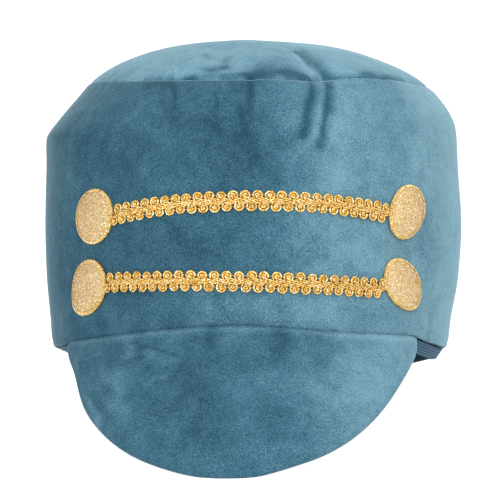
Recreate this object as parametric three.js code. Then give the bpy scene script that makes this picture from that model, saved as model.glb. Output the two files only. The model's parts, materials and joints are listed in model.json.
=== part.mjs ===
// A child's ringmaster cap: a soft velvet crown with a puffed top, a stiff drooping peak, two rows of
// gold loop braid with a glitter disc at each end, and a ribbed elastic inside the sides and back of the rim.
//
// Units are millimetres, +Z is up and the peak points along -Y. The cap is shaped in a frame of its own,
// whose XY plane is the rim and whose Z axis runs up through the crown. Angles go round that axis, from 0
// at the middle of the peak to 90 degrees on +X. The cap is then tilted back to stand as it does on a table,
// on the edge of its peak and the back of its elastic, with the origin under the middle of its box.
import * as THREE from "three";

const DEG = Math.PI / 180;

// Crown: the wall's thickness and the height of the top seam above the rim
const CROWN_WALL = 3;
const FRONT_HEIGHT = 107;
const SIDE_HEIGHT = 124;
const BACK_HEIGHT = 130;

// Level sections of the crown, from the rim up to the top seam. The share is of the wall's height, and the
// other columns are the section's half-widths. The left shoulder is a flat slope and the right one is round.
const CROWN_SECTIONS = [
  { share: 0.0, left: 92.6, right: 90.4, front: 91.0, back: 88.0 },
  { share: 0.1, left: 93.3, right: 91.8, front: 94.0, back: 92.0 },
  { share: 0.25, left: 94.9, right: 94.9, front: 96.5, back: 96.5 },
  { share: 0.48, left: 96.3, right: 97.2, front: 98.0, back: 99.0 },
  { share: 0.7, left: 96.5, right: 96.0, front: 97.0, back: 98.5 },
  { share: 0.79, left: 96.3, right: 95.4, front: 96.2, back: 97.0 },
  { share: 0.86, left: 91.8, right: 95.0, front: 94.8, back: 95.0 },
  { share: 0.91, left: 87.3, right: 91.8, front: 93.0, back: 92.5 },
  { share: 0.96, left: 81.5, right: 86.5, front: 90.2, back: 89.0 },
  { share: 1.0, left: 76.5, right: 79.5, front: 87.0, back: 85.0 },
];

// Folds in the crown wall, deepest at the root and dying out at the tip. Four hang from the top seam, and the
// last two stand on the rim at the ends of the peak, where the elastic begins to draw the velvet in.
const CROWN_FOLDS = [
  { rootAngle: 23, rootShare: 1, tipAngle: 15, tipShare: 0.6, halfWidth: 3.2, depth: 2.2 },
  { rootAngle: 31, rootShare: 1, tipAngle: 21, tipShare: 0.56, halfWidth: 3.2, depth: 2.2 },
  { rootAngle: 5, rootShare: 1, tipAngle: 6, tipShare: 0.82, halfWidth: 3, depth: 1.4 },
  { rootAngle: -16, rootShare: 1, tipAngle: -14, tipShare: 0.82, halfWidth: 3, depth: 1.4 },
  { rootAngle: 66, rootShare: 0, tipAngle: 63, tipShare: 0.26, halfWidth: 3.5, depth: 2 },
  { rootAngle: -66, rootShare: 0, tipAngle: -64, tipShare: 0.18, halfWidth: 3.5, depth: 1.5 },
];

// Gathers that the elastic draws into the sides and back of the rim: how many would go all the way round, how
// deep they are, the angles between which they begin, and the share of the wall's height where they end
const GATHER_COUNT = 20;
const GATHER_DEPTH = 1.2;
const GATHER_START_ANGLE = 70;
const GATHER_FULL_ANGLE = 115;
const GATHER_TOP_SHARE = 0.3;

// Puffed top: its rise over the top seam, the power of its profile, how much more it rises for each
// millimetre to the left, and its dents, each from one place to another, with the power by which they fade at
// the seam. The reach is the share of the way from the middle of the top out to the seam.
const TOP_PUFF = 22.8;
const TOP_PUFF_POWER = 2.9;
const TOP_LEFT_RISE = 0.04;
const TOP_DENT_FADE_POWER = 12;
const TOP_DENTS = [
  { fromAngle: 27, fromReach: 0.55, toAngle: 29, toReach: 0.98, halfWidth: 7, depth: 3 },
  { fromAngle: -2, fromReach: 0.92, toAngle: 22, toReach: 0.92, halfWidth: 6, depth: 3 },
  { fromAngle: -12, fromReach: 0.6, toAngle: -8, toReach: 0.85, halfWidth: 6, depth: 2 },
];

// Peak: half of the angle that it spans, its slope below the rim plane, and its outline
const PEAK_SPAN = 55.8;
const PEAK_SLOPE = 63.7;
const PEAK_LENGTH = 70.4;
const PEAK_END_LENGTH = 3.5;
const PEAK_OUTLINE_POWER = 0.84;
const PEAK_FLARE = 0.15;
const PEAK_BULGE = 3;
const PEAK_THICKNESS = 4;

// Elastic: how far it hangs below the velvet rim, and how far the table presses its back up again
const ELASTIC_SPAN = 128;
const ELASTIC_HEIGHT = 25;
const ELASTIC_DROP = 5;
const ELASTIC_THICKNESS = 1.6;
const ELASTIC_LEAN = 0.6;
const ELASTIC_SETTLE = 2.5;
const PEAK_SETTLE = 0.8;

// Discs: the angle of each and its height over the rim
const DISCS = [
  { name: "disc_upper_left", angle: -40.6, height: 50.2 },
  { name: "disc_upper_right", angle: 48.8, height: 51.9 },
  { name: "disc_lower_left", angle: -44, height: 19.8 },
  { name: "disc_lower_right", angle: 49.2, height: 20.4 },
];

// Braids: the discs that each runs between, and its height over the rim at its ends and in the middle
const BRAIDS = [
  { name: "braid_upper", from: DISCS[0], to: DISCS[1], leftHeight: 50, midHeight: 52.6, rightHeight: 50.6 },
  { name: "braid_lower", from: DISCS[2], to: DISCS[3], leftHeight: 19, midHeight: 18.8, rightHeight: 17.8 },
];
const BRAID_LOOPS = 26;
const BRAID_CORE_WIDTH = 4.4;
const BRAID_LOOP_REACH = 2.4;
const BRAID_LOOP_POWER = 0.6;
const BRAID_THICKNESS = 1.8;
const DISC_DIAMETER = 24.5;
const DISC_EDGE = 1.2;
const DISC_DOME = 0.8;
const TRIM_RADIUS = 96;

// Clearance that sewn pieces keep from each other
const SEAM_GAP = 0.3;

// Steps in the surfaces: the crown's columns crowd a little towards the front, where its folds are, and its
// rows towards the shoulder
const CROWN_COLUMNS = 96;
const FRONT_CROWDING = 0.1;
const WALL_ROWS = 12;
const WALL_INSIDE_ROWS = 6;
const WALL_CROWDING = 1.35;
const TOP_ROWS = 7;
const TOP_INSIDE_ROWS = 4;
const TOP_FIRST_REACH = 0.12;
const PEAK_COLUMNS = 32;
const PEAK_ROWS = 6;
const ELASTIC_COLUMNS = 52;
const BRAID_STEPS_PER_LOOP = 4;
const DISC_SIDES = 20;
const DISC_RING_SHARES = [0.3, 0.65, 1];
const NORMAL_STEP = 1e-3;

const VELVET = { color: 0x56808f, roughness: 0.9, metalness: 0 };
const GOLD_THREAD = { color: 0xe5bb68, roughness: 0.4, metalness: 0.6 };
const GLITTER = { color: 0xe0c697, roughness: 0.5, metalness: 0.5 };
const RIBBED_ELASTIC = { color: 0x45606f, roughness: 0.85, metalness: 0 };

/** Values from 0 to 1 in equal steps, both ends included. */
function steps(count) {
  return Array.from({ length: count + 1 }, (_, index) => index / count);
}

/** A bell that is 1 at the middle and fades to nothing a few half-widths away. */
function bell(distance, halfWidth) {
  return Math.exp(-((distance / halfWidth) ** 2));
}

/** Join rings of points into one closed solid: round in a circle, or with a fan over each end ring. */
function skin(rings, circular = false) {
  const size = rings[0].length;
  const points = rings.flat();
  const triangles = [];
  const at = (ring, place) => (ring % rings.length) * size + (place % size);
  const joins = circular ? rings.length : rings.length - 1;
  for (let ring = 0; ring < joins; ring += 1) {
    for (let place = 0; place < size; place += 1) {
      triangles.push(at(ring, place), at(ring + 1, place), at(ring + 1, place + 1));
      triangles.push(at(ring, place), at(ring + 1, place + 1), at(ring, place + 1));
    }
  }
  if (!circular) {
    const ends = [0, rings.length - 1];
    for (const end of ends) {
      const middle = points.length;
      points.push(middleOf(rings[end]));
      for (let place = 0; place < size; place += 1) {
        const edge = [at(end, place), at(end, place + 1)];
        triangles.push(middle, ...(end === 0 ? edge : edge.reverse()));
      }
    }
  }
  const geometry = new THREE.BufferGeometry().setFromPoints(points);
  geometry.setIndex(facingOut(points, triangles));
  geometry.computeVertexNormals();
  return geometry;
}

/** The mean of a ring's points. */
function middleOf(ring) {
  const total = ring.reduce((sum, point) => sum.add(point), new THREE.Vector3());
  return total.divideScalar(ring.length);
}

/** The same triangles, all turned over if the volume that they enclose comes out negative. */
function facingOut(points, triangles) {
  let volume = 0;
  for (let first = 0; first < triangles.length; first += 3) {
    const [a, b, c] = triangles.slice(first, first + 3).map((index) => points[index]);
    volume += a.dot(new THREE.Vector3().crossVectors(b, c));
  }
  return volume > 0 ? triangles : triangles.toReversed();
}

// Crown wall
const sectionColumns = ["left", "right", "front", "back"];
const sectionAt = new THREE.CubicInterpolant(
  CROWN_SECTIONS.map((row) => row.share),
  CROWN_SECTIONS.flatMap((row) => sectionColumns.map((column) => row[column])),
  sectionColumns.length,
);

// The seam's height is a mean, a slope from front to back and a saddle from the sides
const SEAM_MEAN = (FRONT_HEIGHT + BACK_HEIGHT) / 4 + SIDE_HEIGHT / 2;
const SEAM_SLOPE = (FRONT_HEIGHT - BACK_HEIGHT) / 2;
const SEAM_SADDLE = (FRONT_HEIGHT + BACK_HEIGHT) / 4 - SIDE_HEIGHT / 2;

/** Height of the top seam, or of a smaller copy of it nearer the middle of the top. */
function seamHeight(angle, reach = 1) {
  return SEAM_MEAN + SEAM_SLOPE * reach * Math.cos(angle) + SEAM_SADDLE * reach ** 2 * Math.cos(2 * angle);
}

/** How far the folds and gathers draw the wall in at an angle and a share of its height. */
function wallPull(angle, share) {
  let pull = 0;
  for (const fold of CROWN_FOLDS) {
    const along = (share - fold.rootShare) / (fold.tipShare - fold.rootShare);
    const centre = THREE.MathUtils.lerp(fold.rootAngle, fold.tipAngle, along);
    const strength = 1 - THREE.MathUtils.smoothstep(along, 0, 1);
    pull += fold.depth * strength * bell(angle / DEG - centre, fold.halfWidth);
  }
  const turn = Math.abs(angle) / DEG;
  const drawn = THREE.MathUtils.smoothstep(turn, GATHER_START_ANGLE, GATHER_FULL_ANGLE);
  const nearRim = 1 - THREE.MathUtils.smoothstep(share, 0, GATHER_TOP_SHARE);
  return pull + GATHER_DEPTH * drawn * nearRim * Math.cos(GATHER_COUNT * angle);
}

/** A point on the outside of the crown wall, with its folds and gathers unless it is to be smooth. */
function crownPoint(angle, share, smooth = false) {
  const [left, right, front, back] = sectionAt.evaluate(share);
  const pull = smooth ? 0 : wallPull(angle, share);
  const acrossReach = (Math.sin(angle) < 0 ? left : right) - pull;
  const alongReach = (Math.cos(angle) > 0 ? front : back) - pull;
  return new THREE.Vector3(
    acrossReach * Math.sin(angle),
    -alongReach * Math.cos(angle),
    share * seamHeight(angle),
  );
}

/** The normal of a surface of two parameters, from a small step along the first and one along the second. */
function normalOf(surface, first, second) {
  const across = surface(first + NORMAL_STEP, second).sub(surface(first - NORMAL_STEP, second));
  const along = surface(first, second + NORMAL_STEP).sub(surface(first, second - NORMAL_STEP));
  return across.cross(along).normalize();
}

/** A point lifted off the smooth outside of the crown, at a height over the rim. */
function offCrown(angle, height, lift) {
  const smoothWall = (turn, level) => crownPoint(turn, level, true);
  const share = height / seamHeight(angle);
  const normal = normalOf(smoothWall, angle, share);
  return smoothWall(angle, share).addScaledVector(normal, lift);
}

/** Directions at the top seam: in and down along the mitre between wall and top, and across it to the top. */
function seamMitre(angle) {
  const along = new THREE.Vector3(-Math.sin(angle), Math.cos(angle), -1).normalize();
  const across = new THREE.Vector3(-Math.sin(angle), Math.cos(angle), 1).normalize();
  return { along, across };
}

/** The point of the wall's inside that lies behind a point of its outside. */
function crownInside(angle, share) {
  const outside = crownPoint(angle, share);
  if (share === 1) {
    return outside.addScaledVector(seamMitre(angle).along, CROWN_WALL);
  }
  const normal = normalOf(crownPoint, angle, Math.max(share, NORMAL_STEP));
  if (share === 0) {
    normal.setZ(0).normalize();
  }
  return outside.addScaledVector(normal, -CROWN_WALL);
}

const crownAngles = steps(CROWN_COLUMNS).slice(0, -1).map((turn) => {
  const even = 2 * Math.PI * turn - Math.PI;
  return even - FRONT_CROWDING * Math.sin(even);
});

/** Loops of points up the outside of the wall and down its inside, one at each angle. */
function wallRings() {
  const sharesOf = (rows) => steps(rows).map((row) => 1 - (1 - row) ** WALL_CROWDING);
  return crownAngles.map((angle) => [
    ...sharesOf(WALL_ROWS).map((share) => crownPoint(angle, share)),
    ...sharesOf(WALL_INSIDE_ROWS).toReversed().map((share) => crownInside(angle, share)),
  ]);
}

// Puffed top
const topSection = CROWN_SECTIONS.at(-1);
const topMiddle = new THREE.Vector2(
  (topSection.right - topSection.left) / 2,
  (topSection.back - topSection.front) / 2,
);

/** Where an angle and a reach lie in plan. */
function topPlan(angle, reach) {
  const seam = crownPoint(angle, 1);
  seam.addScaledVector(seamMitre(angle).across, SEAM_GAP);
  return new THREE.Vector2(seam.x, seam.y).sub(topMiddle).multiplyScalar(reach).add(topMiddle);
}

const topDents = TOP_DENTS.map((dent) => ({
  ...dent,
  line: new THREE.Line3(
    new THREE.Vector3(...topPlan(dent.fromAngle * DEG, dent.fromReach), 0),
    new THREE.Vector3(...topPlan(dent.toAngle * DEG, dent.toReach), 0),
  ),
}));

/** A point on the outside of the puffed top: the seam's own shape, the puff over it, and the dents. */
function topPoint(angle, reach) {
  const plan = topPlan(angle, reach);
  const point = new THREE.Vector3(plan.x, plan.y, 0);
  const dented = topDents.reduce((sum, dent) => {
    const nearest = dent.line.closestPointToPoint(point, true, new THREE.Vector3());
    return sum + dent.depth * bell(point.distanceTo(nearest), dent.halfWidth);
  }, 0);
  const puff = TOP_PUFF * (1 - reach ** TOP_PUFF_POWER) - TOP_LEFT_RISE * plan.x * (1 - reach ** 2);
  const fade = 1 - reach ** TOP_DENT_FADE_POWER;
  point.z = seamHeight(angle, reach) + SEAM_GAP * Math.SQRT1_2 + puff - dented * fade;
  return point;
}

/** The point of the top's inside that lies under a point of its outside. */
function topInside(angle, reach) {
  const outside = topPoint(angle, reach);
  if (reach === 1) {
    return outside.addScaledVector(seamMitre(angle).along, CROWN_WALL);
  }
  const inward = normalOf(topPoint, angle, reach);
  return outside.addScaledVector(inward, CROWN_WALL);
}

/** Rings of points over the outside of the top to the seam, and back under its inside. */
function topRings() {
  const reachesOf = (rows) => steps(rows).map((row) => THREE.MathUtils.lerp(TOP_FIRST_REACH, 1, row));
  const ring = (place, reach) => crownAngles.map((angle) => place(angle, reach));
  return [
    ...reachesOf(TOP_ROWS).map((reach) => ring(topPoint, reach)),
    ...reachesOf(TOP_INSIDE_ROWS).toReversed().map((reach) => ring(topInside, reach)),
  ];
}

// Peak: straight lines run out from the rim, and the surface swells a little between seam and edge
function peakLines() {
  return steps(PEAK_COLUMNS).map((step) => {
    const share = 2 * step - 1;
    const angle = PEAK_SPAN * DEG * share;
    const heading = PEAK_FLARE * angle;
    const slope = PEAK_SLOPE * DEG;
    const roundness = (1 - share ** 2) ** PEAK_OUTLINE_POWER;
    const seam = crownPoint(angle, 0);
    seam.z -= SEAM_GAP;
    return {
      seam,
      length: THREE.MathUtils.lerp(PEAK_END_LENGTH, PEAK_LENGTH, roundness),
      swell: PEAK_BULGE * roundness,
      out: new THREE.Vector3(
        Math.sin(heading) * Math.cos(slope),
        -Math.cos(heading) * Math.cos(slope),
        -Math.sin(slope),
      ),
      up: new THREE.Vector3(
        Math.sin(heading) * Math.sin(slope),
        -Math.cos(heading) * Math.sin(slope),
        Math.cos(slope),
      ),
    };
  });
}

/** The loop of points round one line of the peak: over its top, round its edge and back underneath. */
function peakRing(line) {
  const place = (share, depth) => line.seam.clone()
    .addScaledVector(line.out, share * line.length)
    .addScaledVector(line.up, line.swell * Math.sin(Math.PI * share) - depth);
  const edge = place(1, PEAK_THICKNESS / 2).addScaledVector(line.out, PEAK_THICKNESS / 2);
  const shares = steps(PEAK_ROWS);
  return [
    ...shares.map((share) => place(share, 0)),
    edge,
    ...shares.toReversed().map((share) => place(share, PEAK_THICKNESS)),
  ];
}

// Elastic: it lies inside the deepest of the folds and gathers at the rim
const rimFolds = CROWN_FOLDS.filter((fold) => fold.rootShare === 0);
const deepestRimPull = Math.max(GATHER_DEPTH, ...rimFolds.map((fold) => fold.depth));

/** The loop of points round one place of the elastic: up its outside and down its inside. */
function elasticRing(angle) {
  const levels = [-ELASTIC_DROP, 0, ELASTIC_HEIGHT / 2, ELASTIC_HEIGHT - ELASTIC_DROP];
  const inset = CROWN_WALL + deepestRimPull + SEAM_GAP;
  const place = (level, depth) => {
    const lean = ELASTIC_LEAN * Math.max(-level, 0);
    const share = Math.max(level, 0) / seamHeight(angle);
    const point = crownPoint(angle, share, true);
    const inward = new THREE.Vector3(-Math.sin(angle), Math.cos(angle), 0);
    point.addScaledVector(inward, inset + lean + depth);
    return point.setZ(level);
  };
  return [
    ...levels.map((level) => place(level, 0)),
    ...levels.toReversed().map((level) => place(level, ELASTIC_THICKNESS)),
  ];
}

function elasticRings() {
  return steps(ELASTIC_COLUMNS).map((step) => {
    const angle = Math.PI + ELASTIC_SPAN * DEG * (2 * step - 1);
    return elasticRing(angle);
  });
}

// Table: a plane under the back of the elastic and the edge of the peak, which flatten on it
const peakRings = peakLines().map(peakRing);
const backContact = elasticRing(Math.PI)[0];
backContact.z += ELASTIC_SETTLE;
const slopeTo = (point) => (backContact.z - point.z) / (backContact.y - point.y);
const lowestOfPeak = peakRings.flat().reduce((low, point) => (slopeTo(point) > slopeTo(low) ? point : low));
const tableSlope = slopeTo(lowestOfPeak) - PEAK_SETTLE / (backContact.y - lowestOfPeak.y);

/** The same rings, with every point that lies under the table raised to it. */
function setOnTable(rings) {
  const raise = (point) => {
    const table = backContact.z + tableSlope * (point.y - backContact.y);
    return point.clone().setZ(Math.max(point.z, table));
  };
  return rings.map((ring) => ring.map(raise));
}

// Trim
/** One row of braid: a strip along the crown whose edges follow its loops, staggered from side to side. */
function braid({ from, to, leftHeight, midHeight, rightHeight }) {
  const discReach = (DISC_DIAMETER / 2 + SEAM_GAP) / TRIM_RADIUS;
  const start = from.angle * DEG + discReach;
  const end = to.angle * DEG - discReach;
  const arch = midHeight - (leftHeight + rightHeight) / 2;
  const edgeAt = (loop) => {
    const roundness = Math.abs(Math.sin(Math.PI * loop)) ** BRAID_LOOP_POWER;
    return BRAID_CORE_WIDTH / 2 + BRAID_LOOP_REACH * roundness;
  };
  const rings = steps(BRAID_LOOPS * BRAID_STEPS_PER_LOOP).map((step) => {
    const angle = THREE.MathUtils.lerp(start, end, step);
    const height = THREE.MathUtils.lerp(leftHeight, rightHeight, step) + arch * 4 * step * (1 - step);
    const top = height + edgeAt(BRAID_LOOPS * step);
    const bottom = height - edgeAt(BRAID_LOOPS * step + 0.5);
    const outer = SEAM_GAP + BRAID_THICKNESS;
    return [
      offCrown(angle, bottom, SEAM_GAP),
      offCrown(angle, top, SEAM_GAP),
      offCrown(angle, top, outer),
      offCrown(angle, bottom, outer),
    ];
  });
  return skin(rings);
}

/** A disc that follows the crown, with a low dome on its face. */
function disc(centre) {
  const face = (share) => SEAM_GAP + DISC_EDGE + DISC_DOME * (1 - share ** 2);
  const back = () => SEAM_GAP;
  const ring = (share, lift) => steps(DISC_SIDES).slice(0, -1).map((turn) => {
    const radius = (share * DISC_DIAMETER) / 2;
    const angle = centre.angle * DEG + (radius * Math.cos(2 * Math.PI * turn)) / TRIM_RADIUS;
    const height = centre.height + radius * Math.sin(2 * Math.PI * turn);
    return offCrown(angle, height, lift(share));
  });
  return skin([
    ...DISC_RING_SHARES.map((share) => ring(share, face)),
    ...DISC_RING_SHARES.toReversed().map((share) => ring(share, back)),
  ]);
}

/** A named piece of the cap in its finish. */
function piece(name, geometry, finish) {
  const mesh = new THREE.Mesh(geometry, new THREE.MeshStandardMaterial(finish));
  mesh.name = name;
  return mesh;
}

const cap = new THREE.Group();
cap.add(piece("crown_side", skin(setOnTable(wallRings()), true), VELVET));
cap.add(piece("crown_top", skin(topRings()), VELVET));
cap.add(piece("peak", skin(setOnTable(peakRings)), VELVET));
cap.add(piece("elastic_band", skin(setOnTable(elasticRings())), RIBBED_ELASTIC));
for (const row of BRAIDS) {
  cap.add(piece(row.name, braid(row), GOLD_THREAD));
}
for (const row of DISCS) {
  cap.add(piece(row.name, disc(row), GLITTER));
}

// Tilt the cap until the table is level, and put the origin under the middle of its box
cap.rotation.x = -Math.atan(tableSlope);
const box = new THREE.Box3().setFromObject(cap, true);
const middle = box.getCenter(new THREE.Vector3());
cap.position.set(-middle.x, -middle.y, -box.min.z);

const hat = new THREE.Group();
hat.add(cap);

export default hat;
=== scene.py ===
# %% [markdown]
# # A ringmaster cap in velvet and gold
#
# The cap is a soft velvet crown with a puffed top, a stiff peak, two rows of gold loop braid, four
# glitter discs and a ribbed elastic. The solids of the frame already hold its sizes. They could be shown
# as they are, with a fine material, but velvet is all about small folds and the light on its pile. So
# each piece is made again here as a fine surface, from the same few sizes, and stands where its solid
# stands.

import json
import math

import bpy
import numpy as np
from mathutils import Matrix, Vector


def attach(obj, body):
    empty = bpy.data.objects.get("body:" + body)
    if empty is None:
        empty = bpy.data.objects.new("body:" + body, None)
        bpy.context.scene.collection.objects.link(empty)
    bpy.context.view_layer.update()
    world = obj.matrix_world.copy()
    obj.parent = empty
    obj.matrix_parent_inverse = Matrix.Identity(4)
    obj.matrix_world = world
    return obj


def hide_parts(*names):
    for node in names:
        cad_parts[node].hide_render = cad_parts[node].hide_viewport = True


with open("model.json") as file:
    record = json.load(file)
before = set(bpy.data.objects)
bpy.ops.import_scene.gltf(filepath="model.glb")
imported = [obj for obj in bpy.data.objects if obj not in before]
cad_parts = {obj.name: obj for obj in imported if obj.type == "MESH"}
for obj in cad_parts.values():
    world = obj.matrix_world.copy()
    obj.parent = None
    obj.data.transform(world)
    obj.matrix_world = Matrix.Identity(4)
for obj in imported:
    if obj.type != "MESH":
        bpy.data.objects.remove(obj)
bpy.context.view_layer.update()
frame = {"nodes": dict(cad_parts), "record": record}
print("solids:", sorted(frame["nodes"]))

# %% [markdown]
# ## The cap's own frame
#
# The cap stands tilted back, on the edge of its peak and the back of its elastic. Every formula is
# simpler in a frame whose XY plane is the rim, in millimetres. The record gives that frame: the middle of
# the head's opening, and an axis that points down out of it. A last step turns points into metres in the
# room, and lifts the few that would sink into the table, because soft cloth flattens where it rests.

# %% From the cap's frame to the room
MM = 0.001
DEG = math.pi / 180
opening = next(mount for mount in frame["record"]["mounts"] if mount["name"] == "head_opening")
rim_centre = np.array(opening["pos_m"])
cap_up = -np.array(opening["axis"])
cap_right = np.array([1.0, 0.0, 0.0])
cap_axes = np.stack([cap_right, np.cross(cap_up, cap_right), cap_up])


def to_room(points):
    """The rim's centre plus x along right, y along back and z along up, and never under the table."""
    room = rim_centre + MM * points @ cap_axes
    room[..., 2] = np.maximum(room[..., 2], 0.0)
    return room


print("the cap leans back by", round(math.degrees(math.atan2(cap_up[1], cap_up[2])), 2), "degrees")

# %% [markdown]
# ## From a grid of points to a mesh
#
# Every surface here is a grid: its rows follow one parameter and its columns the other. A quad joins each
# four neighbours. A grid that goes round in a circle wraps its last column, or row, back to its first, so
# no seam is left open, and a ring of points caps each open end. The UV map keeps the unwrapped numbers,
# so that a pattern can run along the cloth.


# %% Helpers for grids
def grid_quads(rows, columns, wrap_rows=False, wrap_columns=False):
    """Vertex numbers of each quad of a grid, their UV, and the rings of vertices that close its open ends."""
    row, column = np.meshgrid(
        np.arange(rows if wrap_rows else rows - 1),
        np.arange(columns if wrap_columns else columns - 1),
        indexing="ij",
    )
    corner_row = np.stack([row, row, row + 1, row + 1], axis=-1).reshape(-1, 4)
    corner_column = np.stack([column, column + 1, column + 1, column], axis=-1).reshape(-1, 4)
    quads = (corner_row % rows) * columns + corner_column % columns
    uv = np.stack([corner_column / columns, corner_row / rows], axis=-1)
    first_row = np.arange(columns)
    first_column = np.arange(rows) * columns
    if wrap_rows and wrap_columns:
        caps = np.zeros((0, columns), int)
    elif wrap_rows:
        caps = np.stack([first_column, (first_column + columns - 1)[::-1]])
    else:
        caps = np.stack([first_row[::-1], first_column[-1] + first_row])
    return quads, uv, caps


def grid_part(points, **wraps):
    """A part from a grid of points: the points in one list, its quads, their UV and its caps."""
    return points.reshape(-1, 3), *grid_quads(*points.shape[:2], **wraps)


# %% Helpers for pieces
def faces_out(points, quads):
    """Whether the volume that the quads enclose, a sum of triple products, comes out positive."""
    first, second, third, fourth = (points[quads[:, corner]] for corner in range(4))
    return np.sum(first * np.cross(second, third)) + np.sum(first * np.cross(third, fourth)) > 0


def put_on_cap(piece, slot, *nodes):
    """The piece rides on the cap and stands for these solids, which are hidden; the slot is not used."""
    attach(piece, "root")
    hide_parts(*nodes)


def make_piece(name, slot, node, part, materials, material_of=None):
    """A smooth mesh object at the origin from a part in the cap's frame, which stands for a node."""
    points, quads, uv, caps = part
    points = to_room(points)
    if not faces_out(points, quads):
        quads = quads[:, ::-1]
        uv = uv[:, ::-1]
        caps = [cap[::-1] for cap in caps]
    mesh = bpy.data.meshes.new(name)
    mesh.from_pydata(points.tolist(), [], quads.tolist() + [list(cap) for cap in caps])
    layer = mesh.uv_layers.new(name="UVMap")
    corners = np.zeros((len(mesh.loops), 2), np.float32)
    corners[: uv.size // 2] = uv.reshape(-1, 2)
    layer.data.foreach_set("uv", corners.ravel())
    for material in materials:
        mesh.materials.append(material)
    if material_of is not None:
        mesh.polygons.foreach_set("material_index", np.asarray(material_of, np.int32))
    mesh.polygons.foreach_set("use_smooth", np.ones(len(mesh.polygons), bool))
    mesh.update()
    piece = bpy.data.objects.new(name, mesh)
    bpy.context.scene.collection.objects.link(piece)
    put_on_cap(piece, slot, node)
    print(name, "has", len(mesh.vertices), "points and", len(mesh.polygons), "faces")
    return piece


# %% [markdown]
# ## Node materials in few words
#
# A finish is a small network: textures read a coordinate, and a shader takes what they make. Writing each
# node and link by hand hides the recipe, so one helper makes a node, sets its sockets and links what it
# is given.


# %% Helpers for materials
def add_node(tree, kind, settings=None, **sockets):
    """A new node; a socket's value is a number, a colour, or another node's output to link."""
    node = tree.nodes.new(kind)
    for key, value in (settings or {}).items():
        setattr(node, key, value)
    for key, value in sockets.items():
        socket = node.inputs[int(key[1:]) if key[0] == "_" else key.replace("_", " ")]
        if isinstance(value, bpy.types.NodeSocket):
            tree.links.new(value, socket)
        else:
            socket.default_value = value
    return node


def new_finish(name):
    """An empty node material, and its tree and shader."""
    material = bpy.data.materials.new(name)
    material.use_nodes = True
    tree = material.node_tree
    return material, tree, tree.nodes["Principled BSDF"]


# %% Textures, colours and bumps
def coordinate(tree, kind):
    """What a texture reads: Object for places on the piece, or UV for its map."""
    return add_node(tree, "ShaderNodeTexCoord").outputs[kind]


def noise(tree, where, size, detail=2.0, distortion=0.0):
    """A noise whose blotches are about size millimetres across."""
    sockets = {"Scale": 1.0 / (size * MM), "Detail": detail, "Distortion": distortion}
    return add_node(tree, "ShaderNodeTexNoise", Vector=where, **sockets).outputs["Fac"]


def thread_bands(tree, where, scale, distortion, direction="X"):
    """Fine bands along one direction of a coordinate, as threads lie side by side."""
    sockets = {"Vector": where, "Scale": scale, "Distortion": distortion}
    return add_node(tree, "ShaderNodeTexWave", {"bands_direction": direction}, **sockets).outputs["Fac"]


def reckon(tree, kind, *values):
    """A sum, a product, a sine or another operation on one to three values."""
    sockets = {f"_{place}": value for place, value in enumerate(values)}
    return add_node(tree, "ShaderNodeMath", {"operation": kind}, **sockets).outputs[0]


def set_colour(tree, shader, value, stops):
    """The shader's colour goes through the stops, each a place from 0 to 1 and a colour."""
    node = add_node(tree, "ShaderNodeValToRGB", Fac=value)
    elements = node.color_ramp.elements
    while len(elements) < len(stops):
        elements.new(0.5)
    for element, (place, colour) in zip(elements, stops):
        element.position = place
        element.color = (*colour, 1.0)
    tree.links.new(node.outputs["Color"], shader.inputs["Base Color"])


def set_bump(tree, shader, height, strength, depth):
    """A bump of this height, with its depth in millimetres, on the shader's normal."""
    bump = add_node(tree, "ShaderNodeBump", Strength=strength, Distance=depth * MM, Height=height)
    tree.links.new(bump.outputs["Normal"], shader.inputs["Normal"])


def set_sockets(shader, **values):
    """Plain values, the same all over, on the shader's own sockets."""
    for key, value in values.items():
        shader.inputs[key.replace("_", " ")].default_value = value


# %% [markdown]
# ## Velvet
#
# Velvet is a cloth with a short upright pile. Where the pile is brushed one way it looks dark and deep,
# and where it is brushed another way pale, so a handled cap is mottled. Hair particles could grow every
# fibre, but they can't be carried into a plain mesh. Here the pile is a sheen on the shader, which lights
# up where the cloth turns away from the eye, and the nap is a soft pattern in the colour: broad blotches,
# smaller clouds and a fine grain. A mesh attribute lets each piece lay brush strokes where the real cap
# has them, and it also carries painted light and shade: a paler top and right side, darker folds and
# seams, and a few pale edges.

# %% Velvet finish
# The stops run from dark to pale velvet; the pale end also shows painted light on the top and sides, and the
# dark end painted shade in folds and seams.
VELVET_DARK = (0.014, 0.049, 0.078)
VELVET_MIDDLE = (0.041, 0.114, 0.162)
VELVET_PALE = (0.170, 0.315, 0.380)
VELVET_STOPS = [(0.1, VELVET_DARK), (0.42, VELVET_MIDDLE), (1.0, VELVET_PALE)]
TONE_GAIN = 0.8
TONE_CENTRE = 0.5
NAP_NOISES = [
    {"size": 26, "detail": 3.0, "distortion": 0.8, "amount": 0.42},
    {"size": 7, "detail": 3.0, "distortion": 0.6, "amount": 0.42},
    {"size": 0.55, "detail": 2.0, "distortion": 0.0, "amount": 1.35},
]


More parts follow.
